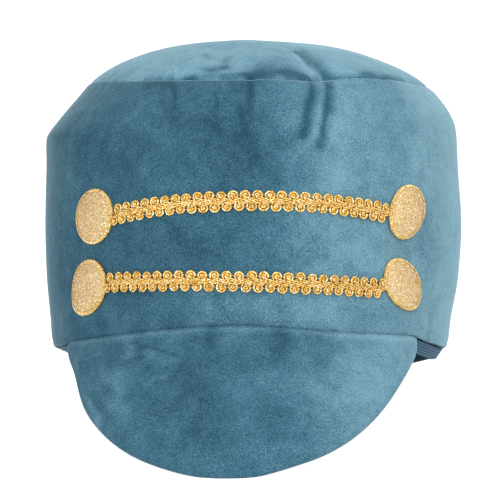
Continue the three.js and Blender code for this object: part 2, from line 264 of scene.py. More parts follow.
def velvet_finish():
    """Attribute with painted light and shade, plus clouds of three sizes, as colour and bump under a sheen.
    """
    material, tree, shader = new_finish("velvet")
    where = coordinate(tree, "Object")
    level = add_node(tree, "ShaderNodeAttribute", {"attribute_name": "nap_and_painted_light"}).outputs["Fac"]
    for row in NAP_NOISES:
        cloud = noise(tree, where, row["size"], row["detail"], row["distortion"])
        level = reckon(tree, "MULTIPLY_ADD", cloud, row["amount"], level)
    middle = sum(row["amount"] for row in NAP_NOISES) / 2
    level = reckon(tree, "MULTIPLY_ADD", level, TONE_GAIN, TONE_CENTRE - TONE_GAIN * middle)
    set_colour(tree, shader, level, VELVET_STOPS)
    set_sockets(shader, Roughness=0.95, Specular_IOR_Level=0.06)
    set_sockets(shader, Sheen_Weight=0.3, Sheen_Roughness=0.3, Sheen_Tint=(0.72, 0.93, 1.0, 1.0))
    set_bump(tree, shader, level, strength=0.25, depth=0.5)
    return material


velvet = velvet_finish()
print("velvet has", len(velvet.node_tree.nodes), "nodes")

# %% [markdown]
# ## The inside of the cloth
#
# The back of the velvet shows only from below. It is a plain woven cloth, so two fine waves crossed at
# right angles along the piece's own UV map are enough, in a dark tone of the same blue.

# %% Woven backing finish
BACKING_STOPS = [(0.0, (0.018, 0.038, 0.052)), (1.0, (0.05, 0.095, 0.12))]


def backing_finish():
    """Two sets of bands at right angles, multiplied, as a colour and a bump."""
    material, tree, shader = new_finish("woven_backing")
    where = coordinate(tree, "UV")
    warp, weft = (thread_bands(tree, where, scale=90.0, distortion=0.4, direction=way) for way in ("X", "Y"))
    weave = reckon(tree, "MULTIPLY", warp, weft)
    set_colour(tree, shader, weave, BACKING_STOPS)
    set_sockets(shader, Roughness=0.85)
    set_bump(tree, shader, weave, strength=0.3, depth=0.2)
    return material


woven_backing = backing_finish()

# %% [markdown]
# ## Crown wall: its level sections
#
# The wall is one band of velvet round the head. It could be lofted through curves by hand, but a table of
# half widths at a few heights says the same in less space: a cubic runs through each column, and each
# section is made of four quarter ellipses. A few soft swells and hollows, a top seam that sinks on the
# right, and a rim that hangs lower beyond the ends of the peak make it this cap and no other.

# %% Sizes of the crown
FRONT_HEIGHT = 107
SIDE_HEIGHT = 124
BACK_HEIGHT = 130
WALL = 3.0
SECTION_SHARE = np.array([0.0, 0.1, 0.25, 0.48, 0.7, 0.79, 0.82, 0.86, 0.91, 0.96, 1.0])
SECTION_LEFT = np.array([92.6, 93.3, 94.9, 96.3, 96.5, 96.5, 94.6, 90.7, 85.5, 80.2, 76.4])
SECTION_RIGHT = np.array([90.4, 91.8, 94.9, 97.2, 96.0, 95.4, 95.1, 94.2, 91.4, 87.2, 82.8])
SECTION_FRONT = np.array([91.0, 94.0, 96.5, 98.0, 97.0, 96.2, 95.7, 94.8, 93.0, 90.2, 87.0])
SECTION_BACK = np.array([88.0, 92.0, 96.5, 99.0, 98.5, 97.0, 96.2, 95.0, 92.5, 89.0, 85.0])
RIGHT_SINK = {"start": 35, "full": 80, "fade": 110, "end": 160, "depth": 3.8, "power": 4}
SEAM_SAG = {"angle": 24, "half_angle": 9, "depth": 1.5, "power": 8}
RIM_ANGLES_LEFT = [-180, -110, -85, -74, -68, -63, -58, -47, -31, -18, -6]
RIM_DROPS_LEFT = [0.0, 0.0, 0.9, 1.7, 2.8, 3.2, 2.4, 2.4, 1.7, 0.85, 0.05]
RIM_ANGLES_RIGHT = [0, 12, 23, 35, 50, 55, 62, 73, 80, 95, 110, 180]
RIM_DROPS_RIGHT = [0.0, 0.5, 1.5, 2.05, 1.5, 1.3, 2.6, 3.4, 3.0, 0.6, 0.0, 0.0]
RIM_DROP_TOP = 0.07
SWELL_COLUMNS = ("angle", "height", "half_angle", "half_height", "out")
WALL_SWELLS = [
    (52, 36, 14, 13, -1.8),
    (52, 8, 12, 7, 1.5),
    (-48, 9, 12, 7, 2.0),
    (86, 0, 20, 3.0, -1.6),
    (-88, 0, 20, 3.5, -1.2),
]


# %% Curves and fades
def smoothstep(value, low, high):
    """0 below low, 1 above high, and a smooth cubic between them."""
    way = np.clip((value - low) / (high - low), 0.0, 1.0)
    return way * way * (3 - 2 * way)


def rise_and_fade(value, row):
    """0 up to start, 1 from full to fade, and 0 again after end."""
    return smoothstep(value, row["start"], row["full"]) * (1 - smoothstep(value, row["fade"], row["end"]))


def bell(distance, half_width):
    """1 in the middle, fading to nothing a few half-widths away."""
    return np.exp(-((distance / half_width) ** 2))


def curve_through(knots, values, place):
    """A cubic between each two knots; a knot's slope is that of the line between its neighbours."""
    steps = np.diff(values) / np.diff(knots)
    inner = (values[2:] - values[:-2]) / (knots[2:] - knots[:-2])
    slopes = np.concatenate([[1.5 * steps[0] - inner[0] / 2], inner, [1.5 * steps[-1] - inner[-1] / 2]])
    low = np.clip(np.searchsorted(knots, place, side="right") - 1, 0, len(knots) - 2)
    gap = knots[low + 1] - knots[low]
    way = (place - knots[low]) / gap
    start = (1 + 2 * way) * (1 - way) ** 2 * values[low] + way * (1 - way) ** 2 * gap * slopes[low]
    end = way**2 * (3 - 2 * way) * values[low + 1] + way**2 * (way - 1) * gap * slopes[low + 1]
    return start + end


# %% Wall of the crown
def seam_height(angle, reach=1.0):
    """Height of the top seam: a mean, a slope, a saddle, a sunken right side, a sag at the folds."""
    mean = (FRONT_HEIGHT + BACK_HEIGHT) / 4 + SIDE_HEIGHT / 2
    slope = (FRONT_HEIGHT - BACK_HEIGHT) / 2
    saddle = (FRONT_HEIGHT + BACK_HEIGHT) / 4 - SIDE_HEIGHT / 2
    sink = RIGHT_SINK["depth"] * rise_and_fade(angle / DEG, RIGHT_SINK) * reach ** RIGHT_SINK["power"]
    sag = SEAM_SAG["depth"] * bell(angle / DEG - SEAM_SAG["angle"], SEAM_SAG["half_angle"])
    sag = sag * reach ** SEAM_SAG["power"]
    return mean + slope * reach * np.cos(angle) + saddle * reach**2 * np.cos(2 * angle) - sink - sag


def wall_swell(angle, height):
    """Swells and hollows of the wall, each a bell round the crown times a bell up it."""
    out = np.zeros(np.broadcast(angle, height).shape)
    for row in WALL_SWELLS:
        swell = dict(zip(SWELL_COLUMNS, row))
        round_crown = bell(angle / DEG - swell["angle"], swell["half_angle"])
        out += swell["out"] * round_crown * bell(height - swell["height"], swell["half_height"])
    return out


def rim_drop(angle, share):
    """How far the rim hangs below its plane, from a curve round the cap, less and less up the wall."""
    turn = np.mod(angle / DEG + 180, 360) - 180
    knots = np.array(RIM_ANGLES_LEFT + RIM_ANGLES_RIGHT, float)
    depth = curve_through(knots, np.array(RIM_DROPS_LEFT + RIM_DROPS_RIGHT), turn)
    return depth * (1 - smoothstep(share, 0, RIM_DROP_TOP))


def crown_wall(angle, share, pull=0.0):
    """Outside of the wall: four quarter ellipses, swelled and drawn in, at a share of the seam's height."""
    left, right, front, back = (
        curve_through(SECTION_SHARE, section, share)
        for section in (SECTION_LEFT, SECTION_RIGHT, SECTION_FRONT, SECTION_BACK)
    )
    across = np.where(np.sin(angle) < 0, left, right)
    along = np.where(np.cos(angle) > 0, front, back)
    height = share * seam_height(angle)
    out = wall_swell(angle, height) - pull
    x = (across + out) * np.sin(angle)
    y = -(along + out) * np.cos(angle)
    return np.stack([x, y, height - rim_drop(angle, share)], axis=-1)


print("front seam at", seam_height(0.0), "mm, back seam at", seam_height(math.pi), "mm")

# %% [markdown]
# ## Crown wall: folds, gathers and puckers
#
# A hand-sewn wall is never smooth. Two long folds hang from the top seam right of the middle, with
# smaller ones beside them and at the rim, the elastic gathers the back of the rim, and the stitches of
# the top seam pucker the cloth on both sides. A cloth simulation could find such folds, but not the ones
# that this cap has. So a short table places each fold, a cosine makes the gathers, and a few cosines of
# different lengths make the puckers and the slow waves of the soft wall.

# %% Folds of the wall
FOLD_COLUMNS = ("root_angle", "root_share", "tip_angle", "tip_share", "half_width", "depth")
CROWN_FOLDS = [
    (24.4, 1, 16.5, 0.72, 1.5, 2.0),
    (28.5, 1, 21.5, 0.62, 1.5, 2.2),
    (18.5, 0.78, 13, 0.68, 1.4, 0.8),
    (4.5, 1, 4.5, 0.84, 1.6, 1.2),
    (-21, 1, -16, 0.85, 1.4, 1.0),
    (66, 0, 63, 0.26, 3.5, 1.0),
    (-66, 0, -64, 0.18, 5, 0.4),
]
FOLD_ENDS = {"start": -0.12, "full": 0, "fade": 0.3, "end": 1}
GATHERS = {"count": 20, "depth": 1.2, "start": 78, "full": 115, "top_share": 0.3}


def fold_pull(angle, share):
    """Each fold is a bell across its line, deepest at the root and gone at the tip."""
    pull = np.zeros(np.broadcast(angle, share).shape)
    for row in CROWN_FOLDS:
        fold = dict(zip(FOLD_COLUMNS, row))
        along = (share - fold["root_share"]) / (fold["tip_share"] - fold["root_share"])
        centre = fold["root_angle"] + (fold["tip_angle"] - fold["root_angle"]) * along
        strength = rise_and_fade(along, FOLD_ENDS)
        pull += fold["depth"] * strength * bell(angle / DEG - centre, fold["half_width"])
    return pull


def gather_pull(angle, share):
    """A cosine round the sides and back of the rim, which fades up the wall."""
    drawn = smoothstep(np.abs(angle) / DEG, GATHERS["start"], GATHERS["full"])
    near_rim = 1 - smoothstep(share, 0, GATHERS["top_share"])
    return GATHERS["depth"] * drawn * near_rim * np.cos(GATHERS["count"] * angle)


# %% Waves and puckers of the wall
chance = np.random.default_rng(11)


def draw_waves(count, fewest, most, rise):
    """Random cosines that close on themselves round the crown: turns, rise over the height, phase."""
    turns = chance.integers(fewest, most, count)
    rises = chance.uniform(-rise, rise, count)
    return np.stack([turns, rises, chance.uniform(0, 2 * math.pi, count)], axis=-1)


def wave_field(angle, share, waves):
    """The sum of the cosines, over the root of their number, so that it seldom passes 2."""
    total = sum(np.cos(turns * angle + rises * share + phase) for turns, rises, phase in waves)
    return total / math.sqrt(len(waves))


slow_waves = draw_waves(count=9, fewest=3, most=13, rise=9.0)
pucker_waves = draw_waves(count=8, fewest=35, most=95, rise=0.0)
SLOW_DEPTH = 0.5
SLOW_START = 0.15
PUCKER_DEPTH = 0.13
PUCKER_REACH = 4.0
SEAM_DIP = 0.35
SEAM_DIP_REACH = 1.0


def wall_pull(angle, share):
    """Folds, gathers and slow waves, and near the top seam puckers and a roll into the seam."""
    below_seam = (1 - share) * seam_height(angle)
    away_from_rim = smoothstep(share, 0, SLOW_START)
    slow = SLOW_DEPTH * away_from_rim * wave_field(angle, share, slow_waves)
    pucker = PUCKER_DEPTH * np.exp(-below_seam / PUCKER_REACH) * wave_field(angle, share, pucker_waves)
    seam = SEAM_DIP * bell(below_seam, SEAM_DIP_REACH)
    return fold_pull(angle, share) + gather_pull(angle, share) + slow + pucker + seam


# %% [markdown]
# ## Crown wall: a closed shell
#
# The wall has thickness, and its rim is turned over in a soft hem. A Solidify modifier would give sharp
# rims, so the profile is walked all the way round instead: up the outside, over the edge that is sewn
# into the top seam, down the inside, and round the hem. Under the peak's seam the hem is tight, and
# elsewhere it is full.

# %% Profile of the wall
CROWN_COLUMNS = 660
OUTSIDE_ROWS = 112
INSIDE_ROWS = 22
HEM_ROWS = 9
HEM_FULL = 2.4
HEM_AT_PEAK = 0.1
PEAK_SPAN = 55.8
HEM_GROWS = (PEAK_SPAN - 4, PEAK_SPAN + 2)
WALL_CROWDING = 0.35
INSIDE_TOP = 0.985
SLOPE_STEP = 0.01
crown_angles = np.linspace(-math.pi, math.pi, CROWN_COLUMNS, endpoint=False)


def seam_mitre(angle):
    """The direction in and down at 45 degrees, along which wall and top meet."""
    return np.stack([-np.sin(angle), np.cos(angle), -np.ones_like(angle)], axis=-1) / math.sqrt(2)


def inward_at(angle):
    """The level direction towards the middle of the cap."""
    return np.stack([-np.sin(angle), np.cos(angle), np.zeros_like(angle)], axis=-1)


def crowded(count, amount):
    """Steps from 0 to 1, drawn together towards the end by a parabola."""
    way = np.linspace(0, 1, count)[:, None]
    return way + amount * way * (1 - way)


def wall_profile():
    """Rings of points: outside from hem to seam, inside from seam to hem, and the hem's half circle."""
    angle = crown_angles[None, :]
    hem = HEM_AT_PEAK + (HEM_FULL - HEM_AT_PEAK) * smoothstep(np.abs(angle) / DEG, *HEM_GROWS)
    first = hem / seam_height(angle)
    share = first + (1 - first) * crowded(OUTSIDE_ROWS, WALL_CROWDING)
    outside = crown_wall(angle, share, wall_pull(angle, share))
    share = first + (1 - first) * np.linspace(INSIDE_TOP, 0, INSIDE_ROWS)[:, None]
    smooth = crown_wall(angle, share, fold_pull(angle, share) + gather_pull(angle, share))
    slope = crown_wall(angle, share + SLOPE_STEP) - crown_wall(angle, share - SLOPE_STEP)
    lean = np.cross(slope, np.stack([np.cos(angle), np.sin(angle), 0 * angle], axis=-1))
    lean /= np.linalg.norm(lean, axis=-1, keepdims=True)
    inside = smooth + WALL * lean
    lip = outside[-1:] + WALL * seam_mitre(angle)
    middle = (outside[:1] + inside[-1:]) / 2
    radius = (outside[:1] - inside[-1:]) / 2
    turn = np.linspace(math.pi, 0, HEM_ROWS + 2)[1:-1, None, None]
    down = np.stack([0 * hem, 0 * hem, -hem], axis=-1)
    rolled = middle + radius * np.cos(turn) + down * np.sin(turn)
    return np.concatenate([outside, lip, inside, rolled])


wall_points = wall_profile()
print("wall rows and columns:", wall_points.shape[:2])

# %% [markdown]
# ## Brush strokes in the nap, and painted light and shade
#
# Fingers and packing have brushed the pile of this cap, and its colour also carries painted light and
# shade: the right of the crown lies pale, partly from its brushed nap and partly as painted light from
# the right, the middle dark, and painted shade darkens each fold and seam. A painted image could hold
# such marks. A few soft strokes are enough. A row of a table gives a stroke's line, as places across and
# up, then its half-width and strength, which is dark below zero and pale above. A slow random shift of
# the places keeps their edges from looking drawn. The sum is kept on the mesh as the attribute that the
# velvet reads.


# %% Brush strokes
def distance_to_line(place, start, end):
    """Distance from each place to the stretch between two ends."""
    line = end - start
    way = np.clip((place - start) @ line / (line @ line), 0, 1)
    return np.linalg.norm(place - start - way[..., None] * line, axis=-1)


def brushed(place, strokes):
    """The sum of the strokes, each a bell over the distance from the nearest stretch of its line."""
    nap_and_painted_light = np.zeros(place.shape[:-1])
    for *line, half_width, strength in strokes:
        points = np.reshape(np.array(line, float), (-1, 2))
        stretches = [distance_to_line(place, start, end) for start, end in zip(points, points[1:])]
        nap_and_painted_light += strength * bell(np.min(stretches, axis=0), half_width)
    return nap_and_painted_light


def set_nap_and_painted_light(piece, nap_and_painted_light):
    """Keeps the tone on the mesh, painted light and shade included, one number for each point."""
    attribute = piece.data.attributes.new("nap_and_painted_light", "FLOAT", "POINT")
    attribute.data.foreach_set("value", nap_and_painted_light.astype(np.float32).ravel())


# %% Strokes on the wall
TRIM_RADIUS = 96
# The long pale rows at 126 and 150 mm across paint light along the right edge of the crown.
WALL_NAP_AND_LIGHT_STROKES = [
    (-25, 85, 5, 62, 16, -0.08),
    (-55, 40, -5, 33, 9, -0.08),
    (-60, 8, 40, 8, 11, 0.05),
    (-14, 7, 24, 7, 9, 0.20),
    (-5, 38, 12, 38, 10, 0.05),
    (60, 36, 80, 36, 10, 0.06),
    (126, 0, 126, 110, 26, 0.18),
    (97, 72, 97, 98, 13, 0.12),
    (60, 6, 80, 6, 9, -0.04),
    (150, 0, 150, 110, 42, 0.16),
    (93, 55, 96, 46, 5, -0.15),
    (97, 38, 106, 33, 5, -0.13),
    (14, 100, 26, 86, 8, 0.10),
    (3, 78, 13, 73, 5, -0.10),
    (-12, 98, -9, 84, 1.8, -0.14),
    (-47, 95, -43, 93, 4, 0.08),
    (-30, 82, -18, 76, 6, 0.06),
    (-62, 96, -60, 80, 4, -0.06),
    (-55, 72, -40, 66, 6, -0.05),
    (50, 95, 42, 60, 5, 0.06),
]
# Most rows paint shade along the folds and creases; the few pale rows paint light on the ridges beside them.
FOLD_SHADE_AND_LIGHT_STROKES = [
    (39.2, 106, 34, 95, 30.5, 83.5, 2.5, -0.42),
    (46.8, 106, 43, 97, 40.5, 88, 38.5, 76, 2.2, -0.42),
    (42.5, 105, 38.5, 95, 35.5, 84, 1.4, 0.08),
    (30.5, 83, 26, 80, 3.0, -0.12),
    (7.5, 105, 7.8, 93, 2.2, -0.28),
    (3.2, 94, 6, 80, 1.8, -0.22),
    (2, 40, 16, 27, 3.5, -0.06),
    (18, 27, 36, 28, 4, -0.06),
    (97.6, 9.4, 103.5, 3.9, 99.5, -1.3, 2.0, 0.14),
    (106, 12, 110, -2, 4, -0.10),
    (-36, 107, -31, 100.5, -28, 94, 1.3, -0.20),
    (-50, 107.5, -40, 106.5, 2.5, -0.12),
]
# The right of the crown is paler, partly from its brushed nap and partly as painted light from the right.
BRUSHED_AND_LIT_SIDE = {"start": 6, "full": 46, "fade": 150, "end": 230}
BRUSHED_AND_LIT_STRENGTH = 0.44
WALL_TONE = -0.24
# Painted shade in each fold, deeper where the fold is deeper.
FOLD_PAINTED_SHADE = -0.06
# A thin line of painted shade along the peak's seam, on the wall and on the peak.
PEAK_SEAM_SHADE = {"reach": 0.8, "tone": -0.06}
WALL_BACK = {"start": 100, "full": 150, "tone": 0.12}
SHIFT = 2.5
FOLD_SHIFT = 0.3
shift_waves = [draw_waves(count=9, fewest=10, most=40, rise=40.0) for _ in range(2)]


# %% Nap of the wall
def wall_nap_and_painted_light(points):
    """Pale right side from brushing and painted light, painted shade in folds and at the peak's seam,
    wandering strokes.
    """
    angle = np.broadcast_to(crown_angles, points.shape[:2])
    share = points[..., 2] / seam_height(angle)
    wander = np.stack([SHIFT * wave_field(angle, share, waves) for waves in shift_waves], axis=-1)
    place = np.stack([TRIM_RADIUS * angle, points[..., 2]], axis=-1)
    wide = place + wander
    nap_and_painted_light = WALL_TONE + BRUSHED_AND_LIT_STRENGTH * rise_and_fade(wide[..., 0], BRUSHED_AND_LIT_SIDE)
    nap_and_painted_light = nap_and_painted_light + FOLD_PAINTED_SHADE * fold_pull(angle, share)
    nap_and_painted_light = nap_and_painted_light + WALL_BACK["tone"] * smoothstep(np.abs(angle) / DEG, WALL_BACK["start"], WALL_BACK["full"])
    at_peak = 1 - smoothstep(np.abs(angle) / DEG, HEM_GROWS[0], PEAK_SPAN)
    over_rim = points[..., 2] + rim_drop(angle, 0.0)
    nap_and_painted_light = nap_and_painted_light + PEAK_SEAM_SHADE["tone"] * at_peak * bell(over_rim, PEAK_SEAM_SHADE["reach"])
    return nap_and_painted_light + brushed(wide, WALL_NAP_AND_LIGHT_STROKES) + brushed(place + FOLD_SHIFT * wander, FOLD_SHADE_AND_LIGHT_STROKES)


# %% Crown wall
wall_rows = np.repeat(np.arange(wall_points.shape[0]), CROWN_COLUMNS)
crown_side = make_piece(
    "velvet_crown_wall",
    "velvet",
    "crown_side",
    grid_part(wall_points, wrap_rows=True, wrap_columns=True),
    (velvet, woven_backing),
    (wall_rows > OUTSIDE_ROWS) & (wall_rows < OUTSIDE_ROWS + INSIDE_ROWS),
)
set_nap_and_painted_light(crown_side, wall_nap_and_painted_light(wall_points))

# %% [markdown]
# ## Puffed top
#
# The top is a round of velvet with a soft wadding, eased into the seam, so it swells over the wall and
# shows dents where the wadding is thin. Its formula is the seam's own shape shrunk towards the middle, a
# puff over it, and three dents. Polar rings fit a round piece, with a small cap in the middle.

# %% Sizes of the top
TOP_PUFF = 23.0
TOP_PUFF_POWERS = (2.1, 0.76)
TOP_LEFT_RISE = 0.04
TOP_DENT_FADE = 12
TOP_WAVE_FADE = 4
DENT_COLUMNS = ("from_angle", "from_reach", "to_angle", "to_reach", "half_width", "depth")
TOP_DENTS = [
    (25.5, 0.62, 28.8, 0.98, 4.0, 1.4),
    (-2, 0.92, 22, 0.92, 6, 1.4),
    (-12, 0.6, -8, 0.85, 6, 2),
]
SEAM_GAP = 0.3
SEAM_OFFSET = (SECTION_RIGHT[-1] - SECTION_LEFT[-1], SECTION_BACK[-1] - SECTION_FRONT[-1])
top_middle = np.array(SEAM_OFFSET) / 2
top_waves = draw_waves(count=8, fewest=3, most=9, rise=7.0)


def top_plan(angle, reach):
    """The way from the middle of the top out to the seam, a reach of 1."""
    share = np.ones_like(angle * reach)
    seam = crown_wall(angle, share, fold_pull(angle, share))[..., :2] + SEAM_GAP * inward_at(angle)[..., :2]
    return top_middle + (seam - top_middle) * np.asarray(reach)[..., None]


def top_dents(plan):
    """Each dent is a bell over the distance in plan from its line."""
    depth = np.zeros(plan.shape[:-1])
    for row in TOP_DENTS:
        dent = dict(zip(DENT_COLUMNS, row))
        start = top_plan(np.array(dent["from_angle"] * DEG), np.array(dent["from_reach"]))
        end = top_plan(np.array(dent["to_angle"] * DEG), np.array(dent["to_reach"]))
        depth += dent["depth"] * bell(distance_to_line(plan, start, end), dent["half_width"])
    return depth


def top_surface(angle, reach):
    """The seam's shape, the puff, the dents, slow waves, and puckers with a roll into the seam."""
    plan = top_plan(angle, reach)
    from_seam = (1 - reach) * SECTION_FRONT[-1]
    puff = TOP_PUFF * (1 - reach ** TOP_PUFF_POWERS[0]) ** TOP_PUFF_POWERS[1]
    puff = puff - TOP_LEFT_RISE * plan[..., 0] * (1 - reach**2)
    slow = SLOW_DEPTH * wave_field(angle, reach, top_waves) * reach * (1 - reach**TOP_WAVE_FADE)
    pucker = PUCKER_DEPTH * np.exp(-from_seam / PUCKER_REACH) * wave_field(angle, reach, pucker_waves)
    height = seam_height(angle, reach) + puff - top_dents(plan) * (1 - reach**TOP_DENT_FADE) + slow
    height -= pucker + SEAM_DIP * bell(from_seam, SEAM_DIP_REACH)
    return np.concatenate([plan, height[..., None]], axis=-1)


# %% Strokes on the top
TOP_ROWS = 84
TOP_INSIDE_ROWS = 16
TOP_FIRST_REACH = 0.01
TOP_INSIDE_REACH = 0.97
TOP_CROWDING = 0.5
# The whole top is paler, as painted light where it faces up; towards the back it fades.
TOP_PAINTED_LIGHT = 0.37
TOP_SHIFT = 0.5
# Dark rows paint shade along the front and right seams, where the top rolls in, and in the valley of the
# diagonal fold; a pale row paints light on that fold's ridge, and the last row a sheen along the far right of
# the top.
TOP_NAP_AND_LIGHT_STROKES = [
    (12, -79.2, 20, -77.2, 7.0, -0.44),
    (7, -84.6, 15, -82.5, 25, -80.0, 33, -78.8, 3.6, -0.40),
    (28, -80.8, 37.5, -77.8, 1.8, -0.30),
    (-5, -85.0, 6, -85.2, 2.6, -0.44),
    (3, -82.5, 6, -81.5, 3.5, -0.14),
    (24.5, -50, 28.5, -58, 31.5, -63.5, 36, -70, 39.8, -75.2, 2.9, -0.62),
    (24.8, -62, 28.4, -67.5, 33, -73, 38.4, -76.6, 1.5, 0.12),
    (41.5, -75.6, 53, -66.5, 63.4, -55.6, 72.5, -42.6, 1.8, -0.36),
    (54, -64, 64, -53, 4.5, -0.10),
    (-15.6, -62, -14.2, -66, 2.6, -0.26),
    (-11, -79.5, -6, -77.5, 3.4, -0.42),
    (-6.5, -77, -5.8, -66, 2.2, -0.26),
    (-22, -83, -10, -84.9, 2.0, -0.38),
    (-62, -48, -44, -68, 14, -0.12),
    (-40, -73.5, -35, -76.5, 2.0, -0.30),
    (-29, -78.5, -27, -81.5, 1.6, -0.30),
    (-26, -81, -19, -84, 1.8, -0.42),
    (-35, -77.5, -28, -80.8, 1.2, -0.24),
    (-46, -62, -26, -76, 6, 0.10),
    (22, -38, 62, -28, 7, 0.16),
]
TOP_LIGHT_FADE = {"start": 5, "full": 75, "tone": -0.26}


# %% Top
def top_profile():
    """Rings of points from the middle of the top out to the seam, in along the mitre, and back underneath."""
    angle = crown_angles[None, :]
    reach = TOP_FIRST_REACH + (1 - TOP_FIRST_REACH) * crowded(TOP_ROWS, TOP_CROWDING)
    outside = top_surface(angle, reach * np.ones_like(angle))
    lip = outside[-1:] + WALL * seam_mitre(angle)
    inside_steps = np.linspace(TOP_INSIDE_REACH, TOP_FIRST_REACH, TOP_INSIDE_ROWS)
    inside_reach = inside_steps[:, None] * np.ones_like(angle)
    inside = top_surface(angle, inside_reach)
    inside[..., 2] -= WALL
    return np.concatenate([outside, lip, inside])


def top_nap_and_painted_light(points):
    """A pale tone of painted light, less of it at the back, and the strokes, at places that wander a little.
    """
    angle = np.broadcast_to(crown_angles, points.shape[:2])
    out = np.linalg.norm(points[..., :2], axis=-1) / SECTION_FRONT[-1]
    wander = np.stack([wave_field(angle, out, waves) for waves in shift_waves], axis=-1)
    back = TOP_LIGHT_FADE["tone"] * smoothstep(points[..., 1], TOP_LIGHT_FADE["start"], TOP_LIGHT_FADE["full"])
    place = points[..., :2] + TOP_SHIFT * wander * out[..., None]
    return TOP_PAINTED_LIGHT + back + brushed(place, TOP_NAP_AND_LIGHT_STROKES)


top_points = top_profile()
top_rows = np.repeat(np.arange(top_points.shape[0] - 1), CROWN_COLUMNS)
crown_top = make_piece(
    "velvet_puffed_top",
    "velvet",
    "crown_top",
    grid_part(top_points, wrap_columns=True),
    (velvet, woven_backing),
    np.append(top_rows >= TOP_ROWS, [False, True]),
)
set_nap_and_painted_light(crown_top, top_nap_and_painted_light(top_points))

# %% [markdown]
# ## Peak
#
# The peak is a stiff board covered in velvet, sewn to the front of the rim. Straight lines run out and
# down from the seam, each with its own length, and the surface swells a little between seam and edge. The
# profile goes round the whole board: over the top, round the edge in a half circle, and back underneath.

# %% Sizes of the peak
PEAK_SLOPE = 63.7
PEAK_LENGTH = 70.2
PEAK_END_LENGTH = 3.5
PEAK_OUTLINE_POWER = 0.84
PEAK_FLARE = 0.15
PEAK_BULGE = 3
PEAK_THICKNESS = 4
PEAK_GAP = -0.25
PEAK_CORNERS = {"left": 1.0, "right": 1.6, "power": 15}
PEAK_TRIM = {"left": 1.3, "right": 2.2, "start": 0.05, "full": 0.35, "fade": 0.85, "end": 1}
PEAK_LEFT_CUT = {"side": -0.905, "half_width": 0.085, "depth": 4.5}


def peak_lines(side):
    """Seam point, length, swell, and the out and up directions of the peak's lines, side from -1 to 1."""
    corner = np.where(side < 0, PEAK_CORNERS["left"], PEAK_CORNERS["right"]) * side ** PEAK_CORNERS["power"]
    angle = DEG * (PEAK_SPAN * side + corner)
    heading = PEAK_FLARE * angle
    slope = PEAK_SLOPE * DEG
    round_share = (1 - side**2) ** PEAK_OUTLINE_POWER
    seam = crown_wall(angle, np.zeros_like(angle)) - np.array([0, 0, PEAK_GAP])
    level = np.stack([np.sin(heading), -np.cos(heading), 0 * heading], axis=-1)
    upright = np.array([0.0, 0.0, 1.0])
    out = math.cos(slope) * level - math.sin(slope) * upright
    up = math.sin(slope) * level + math.cos(slope) * upright
    length = PEAK_END_LENGTH + (PEAK_LENGTH - PEAK_END_LENGTH) * round_share
    trim = np.where(side < 0, PEAK_TRIM["left"], PEAK_TRIM["right"])
    length = length - trim * rise_and_fade(np.abs(side), PEAK_TRIM)
    length = length - PEAK_LEFT_CUT["depth"] * bell(side - PEAK_LEFT_CUT["side"], PEAK_LEFT_CUT["half_width"])
    return seam, length, PEAK_BULGE * round_share, out, up


def peak_place(side, share, depth):
    """A point at a share of a line's length, lifted by the swell and sunk by depth."""
    seam, length, swell, out, up = peak_lines(side)
    lift = swell * np.sin(math.pi * share) - depth
    return seam + out * (share * length)[..., None] + up * lift[..., None]


# %% Upper face of the peak
PEAK_SEAM_DIP = 0.06
# The roll is a low swell just past the seam; its tone paints a highlight where it faces up.
PEAK_ROLL = {"place": 2.0, "half_width": 1.6, "height": 0.3, "tone": 0.2}
PEAK_FLAT = (88, 70)
PEAK_WAVE_TURN = 2
PEAK_WAVE_START = (2, 14)
PEAK_WAVE_FADE = 6
PEAK_TONE = -0.17
# The right of the peak is paler, as painted light from the right.
PEAK_LIT_SIDE = {"start": 0.15, "full": 0.8, "strength": 0.46}
PEAK_CREASE = (-44, 7, -22, 16, 1.0, 0.5)
# The crease is darkened as painted shade.
CREASE_PAINTED_SHADE = -0.3
# The last row paints a highlight along the left edge of the peak.
PEAK_NAP_AND_LIGHT_STROKES = [
    (-57, 7, -55, 21, 5, -0.05),
    (-47, 7, -47, 15, 3, 0.20),
    (-40, 13, -39, 21, 3.5, -0.10),
    (-32, 17, -25, 17, 4, 0.16),
    (-50, 32, -47, 52, 5.5, 0.20),
    (-18, 23, -13, 48, 12, -0.18),
    (-35, 38, -26, 49, 8, -0.05),
    (-35, 31, -26, 26, 1.5, 0.14),
    (-9, 1, -8, 10, 3, -0.18),
    (18, 4, 22, 21, 5, -0.18),
    (9, 21, 21, 27, 4, -0.05),
    (2, 10, 12, 9, 4, 0.08),
    (9, 35, 18, 35, 6, 0.08),
    (31, 29, 53, 48, 8, 0.10),
    (37, 7, 41, 17, 5, -0.08),
    (4, 48, 26, 55, 5, -0.06),
    (-62, 42, -57, 60, 6, -0.05),
    (-67, 64, -57, 71, 3, 0.24),
]
peak_waves = draw_waves(count=8, fewest=2, most=9, rise=9.0)
peak_shift_waves = [draw_waves(count=9, fewest=4, most=30, rise=30.0) for _ in range(2)]


